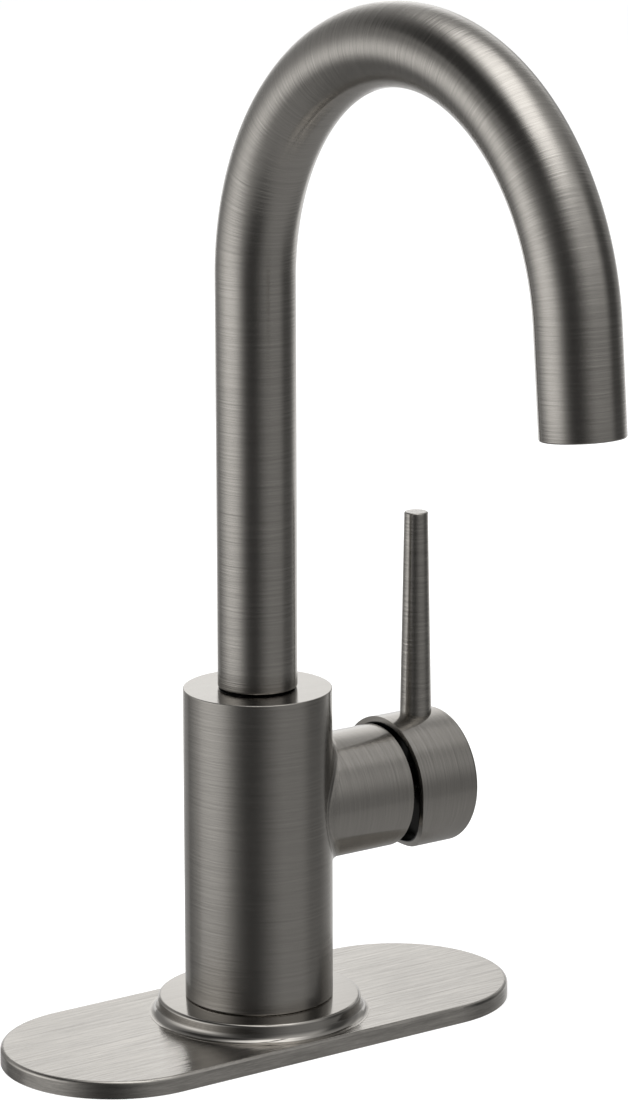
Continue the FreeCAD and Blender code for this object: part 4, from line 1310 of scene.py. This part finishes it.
@dataclass(frozen=True)
class BaseRing:
    """The ring under the body, its foot flared out until it meets the plate."""

    bore: float = 15.5 * MM
    wall: float = 28.3 * MM
    foot: float = 30.8 * MM
    bottom: float = 4.8 * MM
    top: float = 9.7 * MM
    edge_round: float = 0.9 * MM
    feather: float = 0.06 * MM
    groove_inner: float = 21.5 * MM
    groove_outer: float = 25.0 * MM
    groove_depth: float = 1.6 * MM
    cove_steps: int = 14
    round_steps: int = 8
    sides: int = 192

    def build(self, material: bpy.types.Material) -> bpy.types.Object:
        """Turn the ring.

        Args:
            material: The finish.

        Returns:
            The ring.
        """
        cove = self.foot - self.wall
        groove_top = self.bottom + self.groove_depth
        outline = [(self.bore, self.bottom), (self.groove_inner, self.bottom),
                   (self.groove_inner, groove_top), (self.groove_outer, groove_top),
                   (self.groove_outer, self.bottom), (self.foot, self.bottom)]
        outline += arc((self.foot, self.bottom + self.feather + cove), cove, 270.0, 180.0,
                       self.cove_steps)
        outline += arc((self.wall - self.edge_round, self.top - self.edge_round),
                       self.edge_round, 0.0, 90.0, self.round_steps)
        outline.append((self.bore, self.top))
        mesh = Turning("base_ring_turned", tuple(outline), self.sides).skin()
        return settle_piece("base_ring_turned", mesh, material, "base",
                            ["base_ring"])


@dataclass(frozen=True)
class SocketLip:
    """The body's rim round the tube's neck, which closes the socket's clearance."""

    neck: float = 10.65 * MM
    socket: float = 11.3 * MM
    top: float = 97.9 * MM
    height: float = 0.8 * MM
    edge_round: float = 0.12 * MM
    round_steps: int = 4

    def build(self, material: bpy.types.Material) -> bpy.types.Object:
        """Turn the rim.

        Args:
            material: The body's finish.

        Returns:
            The rim.
        """
        foot = self.top - self.height
        outline = [(self.neck, foot), (self.socket, foot), (self.socket, self.top)]
        outline += arc((self.neck + self.edge_round, self.top - self.edge_round),
                       self.edge_round, 90.0, 180.0, self.round_steps)
        mesh = Turning("body_socket_lip", tuple(outline)).skin()
        return settle_piece("body_socket_lip", mesh, material, "base", [])


@dataclass(frozen=True)
class BossFillet:
    """The soft rounding where the side boss leaves the body."""

    body: float = 20.6 * MM
    boss: float = 17.4 * MM
    axis_height: float = 63.1 * MM
    radius: float = 3.0 * MM
    proud: float = 0.01 * MM
    buried: float = 0.4 * MM
    steps: int = 10
    sides: int = 160
    crisp: float = 30.0

    def build(self, material: bpy.types.Material) -> bpy.types.Object:
        """Roll the rounding round the boss, closed behind by a buried corner.

        Args:
            material: The body's finish.

        Returns:
            The rounding.
        """
        work = bmesh.new()
        rows = []
        for i in range(self.sides):
            angle = 2 * math.pi * i / self.sides
            rows.append([work.verts.new(place) for place in self._section(angle)])
        join_rings(work, rows + rows[:1])
        mesh = finish_mesh(work, "boss_fillet", self.crisp)
        return settle_piece("boss_fillet", mesh, material, "base", [])

    def _section(self, angle: float) -> list[Vector]:
        """The rounding's outline at one place round the boss.

        Args:
            angle: Where round the handle axis, in radians.

        Returns:
            The arc from the body to the boss, and the corner behind it.
        """
        away = Vector((0.0, math.cos(angle), math.sin(angle)))
        axis = Vector((0.0, 0.0, self.axis_height))
        centre = axis + away * (self.boss + self.radius)
        centre.x = math.sqrt((self.body + self.radius) ** 2 - centre.y ** 2)
        level = Vector((centre.x, centre.y, 0.0))
        first = -level.normalized()
        last = -away
        found = []
        for i in range(self.steps + 1):
            lean = first.slerp(last, i / self.steps)
            found.append(centre + lean * (self.radius + self.proud))
        corner = axis + away * (self.boss - self.buried)
        corner.x = math.sqrt(max(self.body ** 2 - corner.y ** 2, 0.0)) - self.buried
        found.append(corner)
        return found


@dataclass(frozen=True)
class ThreadedPipe:
    """A turned pipe whose outside is threaded along part of its length."""

    name: str
    bore: float
    outline: tuple[tuple[float, float], ...]
    thread_low: float
    thread_high: float
    pitch: float
    centre: tuple[float, float] = (0.0, 0.0)
    depth_share: float = 0.5
    run_out_turns: float = 0.8
    flank_gain: float = 1.3
    crest_share: float = 0.15
    rows_per_turn: int = 8
    sides: int = 72
    crisp: float = 50.0

    def skin(self) -> bpy.types.Mesh:
        """Spin the outside, sink the thread into it and line the bore.

        Returns:
            The mesh, closed at both ends.
        """
        levels = self._levels()
        work = bmesh.new()
        rows = [self._row(work, height, radius, self._depth(height)) for height, radius in levels]
        first, last = levels[0][0], levels[-1][0]
        if self.bore > 0.0:
            rows.append(self._row(work, last, self.bore, 0.0))
            rows.append(self._row(work, first, self.bore, 0.0))
            rows.append(rows[0])
        join_rings(work, rows)
        if self.bore <= 0.0:
            for row in (rows[0], rows[-1]):
                work.faces.new(row)
        return finish_mesh(work, self.name, self.crisp)

    def _levels(self) -> list[tuple[float, float]]:
        """Heights and plain radii, close together where the thread runs.

        Returns:
            Height and radius of each row, from the foot up.
        """
        found = []
        for (low, start), (high, end) in zip(self.outline, self.outline[1:]):
            found.append((low, start))
            inside = min(high, self.thread_high) - max(low, self.thread_low)
            if inside <= 0.0:
                continue
            steps = max(2, round((high - low) / self.pitch * self.rows_per_turn))
            for i in range(1, steps):
                share = i / steps
                found.append((low + (high - low) * share, start + (end - start) * share))
        found.append(self.outline[-1])
        return found

    def _depth(self, height: float) -> float:
        """Depth of the thread at a height, running out at both ends.

        Args:
            height: The height.

        Returns:
            The depth in metres.
        """
        run_out = self.pitch * self.run_out_turns
        share = smooth(height, self.thread_low, self.thread_low + run_out)
        share *= 1.0 - smooth(height, self.thread_high - run_out, self.thread_high)
        return self.pitch * self.depth_share * share

    def _row(self, work: bmesh.types.BMesh, height: float, radius: float,
             depth: float) -> Ring:
        """One ring of points, sunk where the thread's furrow passes.

        Args:
            work: The mesh under construction.
            height: The ring's height.
            radius: Its radius without a thread.
            depth: How deep the thread cuts.

        Returns:
            The ring's points.
        """
        reaches = []
        for i in range(self.sides):
            phase = (height / self.pitch - i / self.sides) % 1.0
            flank = abs(phase * 2.0 - 1.0) * self.flank_gain - self.crest_share
            reaches.append(radius - depth * min(max(flank, 0.0), 1.0))
        return spin_ring(work, self.centre, reaches, height)


@dataclass(frozen=True)
class ClampNut:
    """The flanged hexagon nut under the deck, with the holes of its jam screws."""

    bore: float = 15.05 * MM
    flange: float = 25.0 * MM
    across: float = 37.0 * MM
    foot: float = -36.6 * MM
    shoulder: float = -28.6 * MM
    top: float = -24.6 * MM
    edge_round: float = 0.6 * MM
    hole_circle: float = 21.6 * MM
    hole_radius: float = 2.55 * MM
    hole_depth: float = 20.0 * MM
    fillet: float = 0.5 * MM
    bore_chamfer: float = 0.4 * MM
    corner_cut: float = 1.14
    foot_chamfer: tuple[tuple[float, float], ...] = (
        (0.0, 0.985), (0.5 * MM, 1.03), (1.1 * MM, 1.085))
    full_from: float = 1.8 * MM
    sides: int = 144
    round_steps: int = 5
    hole_sides: int = 40
    crisp: float = 26.0

    def build(self, material: bpy.types.Material) -> bpy.types.Object:
        """Turn the flange, mill the hexagon and drill the holes.

        Args:
            material: The finish.

        Returns:
            The nut.
        """
        hexagon = [self._hexagon(i) for i in range(self.sides)]
        rows = [[min(reach, self.across / 2 * share) for reach in hexagon]
                for _, share in self.foot_chamfer]
        rows += [hexagon, hexagon, [reach + self.fillet for reach in hexagon]]
        heights = [self.foot + step for step, _ in self.foot_chamfer]
        heights += [self.foot + self.full_from, self.shoulder - self.fillet, self.shoulder]
        for radius, height in (
                arc((self.flange - self.edge_round, self.shoulder + self.edge_round),
                    self.edge_round, 270.0, 360.0, self.round_steps)
                + arc((self.flange - self.edge_round, self.top - self.edge_round),
                      self.edge_round, 0.0, 90.0, self.round_steps)):
            rows.append([radius] * self.sides)
            heights.append(height)
        mouth = self.bore + self.bore_chamfer
        for radius, height in ((mouth, self.top), (self.bore, self.top - self.bore_chamfer),
                               (self.bore, self.foot + self.bore_chamfer), (mouth, self.foot)):
            rows.append([radius] * self.sides)
            heights.append(height)
        mesh = self._skin(rows, heights)
        return settle_piece("clamp_nut_milled", mesh, material, "base",
                            ["mounting_nut"])

    def _hexagon(self, number: int) -> float:
        """Reach of the hexagon in the direction of one side of the mesh.

        Args:
            number: Which side of the mesh.

        Returns:
            The reach in metres, with the corners slightly broken.
        """
        angle = 2 * math.pi * number / self.sides
        off = (angle + math.pi / 6) % (math.pi / 3) - math.pi / 6
        return min(self.across / 2 / math.cos(off), self.across / 2 * self.corner_cut)

    def _skin(self, rows: Sequence[Sequence[float]],
              heights: Sequence[float]) -> bpy.types.Mesh:
        """Spin and join the rings, then drill the jam screw holes.

        Args:
            rows: The reach of every point, ring by ring.
            heights: The height of every ring.

        Returns:
            The mesh.
        """
        work = bmesh.new()
        rings = [spin_ring(work, (0.0, 0.0), reaches, height)
                 for reaches, height in zip(rows, heights)]
        join_rings(work, rings + rings[:1])
        return self._drill(finish_mesh(work, "clamp_nut_milled"))

    def _drill(self, mesh: bpy.types.Mesh) -> bpy.types.Mesh:
        """Cut the two jam screw holes through the flange.

        Args:
            mesh: The nut without its holes.

        Returns:
            The drilled nut.
        """
        cutters = bmesh.new()
        for side in (1.0, -1.0):
            spot = Matrix.Translation((0.0, side * self.hole_circle, self.top))
            bmesh.ops.create_cone(cutters, cap_ends=True, segments=self.hole_sides,
                                  radius1=self.hole_radius, radius2=self.hole_radius,
                                  depth=self.hole_depth, matrix=spot)
        drill_mesh = bpy.data.meshes.new("jam_screw_drill")
        cutters.to_mesh(drill_mesh)
        cutters.free()
        nut = stand("nut_blank", mesh)
        drill = stand("jam_screw_drill", drill_mesh)
        cut = nut.modifiers.new("jam_screw_holes", "BOOLEAN")
        cut.operation = "DIFFERENCE"
        cut.solver = "EXACT"
        cut.object = drill
        bpy.context.view_layer.update()
        drilled = bpy.data.meshes.new_from_object(
            nut.evaluated_get(bpy.context.evaluated_depsgraph_get()))
        for blank in (nut, drill):
            bpy.data.objects.remove(blank)
        work = bmesh.new()
        work.from_mesh(drilled)
        for edge in work.edges:
            edge.smooth = edge.calc_face_angle(0.0) < math.radians(self.crisp)
        work.to_mesh(drilled)
        work.free()
        return drilled


@dataclass(frozen=True)
class DeckClamp:
    """The threaded pieces under the deck: shank, jam screws and supply tails."""

    shank_radius: float = 15.0 * MM
    shank_bore: float = 12.0 * MM
    shank_foot: float = -48.0 * MM
    shank_top: float = 23.7 * MM
    shank_pitch: float = 1.5 * MM
    shank_thread_top: float = -2.0 * MM
    shank_lead: float = 1.0 * MM
    shank_thread_start: float = 0.2 * MM
    screw_circle: float = 21.6 * MM
    screw_radius: float = 2.5 * MM
    screw_top: float = -24.6 * MM
    screw_length: float = 14.0 * MM
    screw_pitch: float = 0.8 * MM
    screw_chamfer: float = 0.5 * MM
    screw_root: float = 0.4 * MM
    screw_root_share: float = 0.9
    head_radius: float = 3.2 * MM
    head_height: float = 3.5 * MM
    head_edge: float = 0.25 * MM
    head_chamfer: float = 0.6 * MM
    head_sides: int = 48
    tail_places: tuple[tuple[str, float, float], ...] = (
        ("hot", -4.6 * MM, 4.2 * MM), ("cold", 4.6 * MM, -4.2 * MM))
    tail_radius: float = 4.75 * MM
    tail_bore: float = 2.4 * MM
    tail_foot: float = -72.0 * MM
    tail_top: float = 33.5 * MM
    tail_thread: float = 14.0 * MM
    tail_pitch: float = 1.06 * MM
    tail_lead: float = 0.6 * MM
    tail_thread_start: float = 0.1 * MM
    collar_edge: float = 0.4 * MM
    collar_radius: float = 5.4 * MM
    collar_height: float = 5.0 * MM
    ring_groove: float = 28.5 * MM
    ring_section: float = 0.9 * MM

    def build(self, brass: bpy.types.Material, steel: bpy.types.Material) -> None:
        """Build the pieces.

        Args:
            brass: Finish of the shank and the tails.
            steel: Finish of the jam screws.
        """
        self._shank(brass)
        self._jam_screws(steel)
        for side, x, y in self.tail_places:
            self._tail(side, x, y, brass)

    def _shank(self, brass: bpy.types.Material) -> None:
        """The hollow shank, threaded from its foot up to the deck.

        Args:
            brass: Its finish.
        """
        outline = ((self.shank_foot, self.shank_radius - self.shank_lead),
                   (self.shank_foot + self.shank_lead, self.shank_radius),
                   (self.shank_thread_top, self.shank_radius),
                   (self.shank_top, self.shank_radius))
        pipe = ThreadedPipe("mounting_shank_threaded", self.shank_bore, outline,
                            self.shank_foot + self.shank_thread_start,
                            self.shank_thread_top, self.shank_pitch, sides=96)
        settle_piece(pipe.name, pipe.skin(), brass, "base", ["mounting_shank"])

    def _jam_screws(self, steel: bpy.types.Material) -> None:
        """Two threaded screws with chamfered hexagon heads.

        Args:
            steel: Their finish.
        """
        foot = self.screw_top - self.screw_length
        parts = bmesh.new()
        for side in (1.0, -1.0):
            thread = ThreadedPipe("jam_thread", 0.0, (
                (foot - self.screw_root, self.screw_radius * self.screw_root_share),
                (foot, self.screw_radius),
                (self.screw_top - self.screw_chamfer, self.screw_radius),
                (self.screw_top, self.screw_radius - self.screw_chamfer)), foot,
                self.screw_top, self.screw_pitch, (0.0, side * self.screw_circle), sides=32).skin()
            parts.from_mesh(thread)
            rows = []
            low = foot - self.head_height
            for height, share in ((low, 0.80), (low + self.head_edge, 0.90),
                                  (low + self.head_chamfer, 1.0),
                                  (foot - self.head_edge, 1.0), (foot, 0.92)):
                reaches = []
                for i in range(self.head_sides):
                    off = 2 * math.pi * i / self.head_sides % (math.pi / 3) - math.pi / 6
                    reaches.append(min(self.head_radius * math.cos(math.pi / 6) / math.cos(off),
                                       self.head_radius * share))
                rows.append(spin_ring(parts, (0.0, side * self.screw_circle), reaches, height))
            parts.faces.new(rows[0])
            parts.faces.new(rows[-1])
            join_rings(parts, rows, smooth_faces=False)
        mesh = finish_mesh(parts, "jam_screws_threaded")
        settle_piece(mesh.name, mesh, steel, "base", ["nut_jam_screws"])

    def _tail(self, side: str, x: float, y: float, brass: bpy.types.Material) -> None:
        """One supply tail: thread, collar, pipe and the groove of its ring.

        Args:
            side: Which supply it carries.
            x: Its place across the deck.
            y: Its place along the deck.
            brass: Its finish.
        """
        lead = self.tail_lead
        edge = self.collar_edge
        collar = self.tail_foot + self.tail_thread
        collar_top = collar + self.collar_height
        low = self.ring_groove - self.ring_section
        high = self.ring_groove + self.ring_section
        groove = self.tail_radius - self.ring_section
        outline = ((self.tail_foot, self.tail_radius - lead),
                   (self.tail_foot + lead, self.tail_radius), (collar, self.tail_radius),
                   (collar, self.collar_radius - edge), (collar + edge, self.collar_radius),
                   (collar_top - edge, self.collar_radius),
                   (collar_top, self.collar_radius - edge), (collar_top, self.tail_radius),
                   (low, self.tail_radius), (low, groove), (high, groove),
                   (high, self.tail_radius), (self.tail_top - lead, self.tail_radius),
                   (self.tail_top, self.tail_radius - lead))
        pipe = ThreadedPipe(f"{side}_tail_threaded", self.tail_bore, outline,
                            self.tail_foot + self.tail_thread_start, collar - edge,
                            self.tail_pitch, (x, y), sides=56)
        settle_piece(pipe.name, pipe.skin(), brass, "base",
                     [f"{side}_inlet_tail"])


class Faucet:
    """The whole dressed faucet."""

    def __init__(self, effects: EffectGroups) -> None:
        """Keep the groups that the finishes share.

        Args:
            effects: The shared groups.
        """
        self.effects = effects

    def dress_show_pieces(self) -> None:
        """Finish the pieces that stand above the deck."""
        # Painted light: the plate's tint is the body's gunmetal made about 9 % paler, standing in
        # for the brighter light on the plate.
        plate = BrushedGunmetal("plate brushed lengthwise", Brushing.PLATE,
                                tint=(0.418, 0.40, 0.374), roughness=0.20,
                                face_roughness=0.195, anisotropy=0.75, slow=40.0, fast=560.0,
                                stroke_depth=1.7, furrow_depth=0.00012)
        ring = BrushedGunmetal("brushed ring", Brushing.UPRIGHT, roughness=0.10,
                               anisotropy=0.6, furrow_depth=0.00002)
        body = BrushedGunmetal("brushed body", Brushing.BODY)
        # Painted shade: the cup's bore is coloured near-black within this radius.
        cap = BrushedGunmetal("brushed cup", Brushing.HANDLE, painted_shade_bore_radius=17.6 * MM)
        rod = BrushedGunmetal("brushed lever", Brushing.UPRIGHT, fast=1000.0, stroke_depth=1.3,
                              roughness=0.24, furrow_depth=0.00014)
        # Painted shade: the bonnet cover is tinted near-black to stand for the shade in the gap
        # between boss and cup.
        cover = BrushedGunmetal("bonnet cover", Brushing.HANDLE, tint=(0.05, 0.048, 0.045),
                                roughness=0.30)
        # Painted shade: the tube's neck is coloured near-black below this height, for the shade in
        # its seam.
        tube = BrushedGunmetal("brushed spout", Brushing.SPOUT, slow=32.0, fast=1400.0,
                               stroke_depth=0.7, furrow_depth=0.00008, painted_shade_neck_top=98.4 * MM)
        dress("deck_plate", plate.build(self.effects))
        BaseRing().build(ring.build(self.effects))
        body_metal = body.build(self.effects)
        dress("faucet_body", body_metal)
        BossFillet().build(body_metal)
        SocketLip().build(body_metal)
        dress("handle_cap", cap.build(self.effects))
        dress("handle_lever", rod.build(self.effects))
        dress("bonnet_cover", cover.build(self.effects))
        GooseneckTube().build(tube.build(self.effects))

    def dress_hidden_pieces(self) -> None:
        """Finish the pieces inside and under the deck."""
        brass = PlainMetal("machined brass", (0.78, 0.60, 0.32)).build(self.effects)
        steel = PlainMetal("drawn steel", (0.60, 0.60, 0.59),
                           tarnish=(0.35, 0.34, 0.32)).build(self.effects)
        screen = PlainMetal("outlet screen steel", (0.55, 0.55, 0.54), roughness=0.4,
                            tarnish=(0.33, 0.33, 0.32)).build(self.effects)
        rubber = MouldedStuff("seal rubber", (0.022, 0.022, 0.023), 0.55).build(self.effects)
        foam = MouldedStuff("gasket foam", (0.045, 0.045, 0.046), 0.85,
                            skin_scale=900.0, skin_depth=0.0002).build(self.effects)
        plastic = MouldedStuff("cartridge plastic", (0.62, 0.62, 0.60), 0.38).build(self.effects)
        glide = MouldedStuff("glide plastic", (0.80, 0.79, 0.75), 0.33).build(self.effects)
        outlet = MouldedStuff("outlet plastic", (0.34, 0.34, 0.34), 0.42).build(self.effects)
        rotor = MouldedStuff("rotor plastic", (0.14, 0.14, 0.15), 0.36).build(self.effects)
        ceramic = MouldedStuff("fired ceramic", (0.82, 0.81, 0.78), 0.18).build(self.effects)
        DeckClamp().build(brass, steel)
        ClampNut().build(brass)
        for material, nodes in (
                (brass, ("spout_spigot", "cartridge_nut")),
                (steel, ("mounting_washer", "spout_lock_screw", "stem_pivot_pin",
                         "cartridge_stem", "handle_set_screw")),
                (screen, ("aerator_screen",)),
                (rubber, ("base_ring_seal", "mounting_gasket", "inlet_tail_o_rings",
                          "spout_o_rings", "aerator_gasket", "cartridge_seals")),
                (foam, ("deck_plate_gasket",)),
                (plastic, ("cartridge_housing",)),
                (glide, ("lower_glide_ring", "upper_glide_ring")),
                (outlet, ("aerator_housing", "aerator_insert")),
                (rotor, ("cartridge_rotor",)),
                (ceramic, ("fixed_ceramic_disc", "moving_ceramic_disc"))):
            for node in nodes:
                dress(node, material)


def main() -> None:
    """Build the scene in order."""
    logging.basicConfig(level=logging.INFO, format="%(name)s: %(message)s")
    camera = Camera()
    camera.build()
    Studio(camera).build()
    faucet = Faucet(EffectGroups())
    faucet.dress_show_pieces()
    faucet.dress_hidden_pieces()


if __name__ == "__main__":
    main()
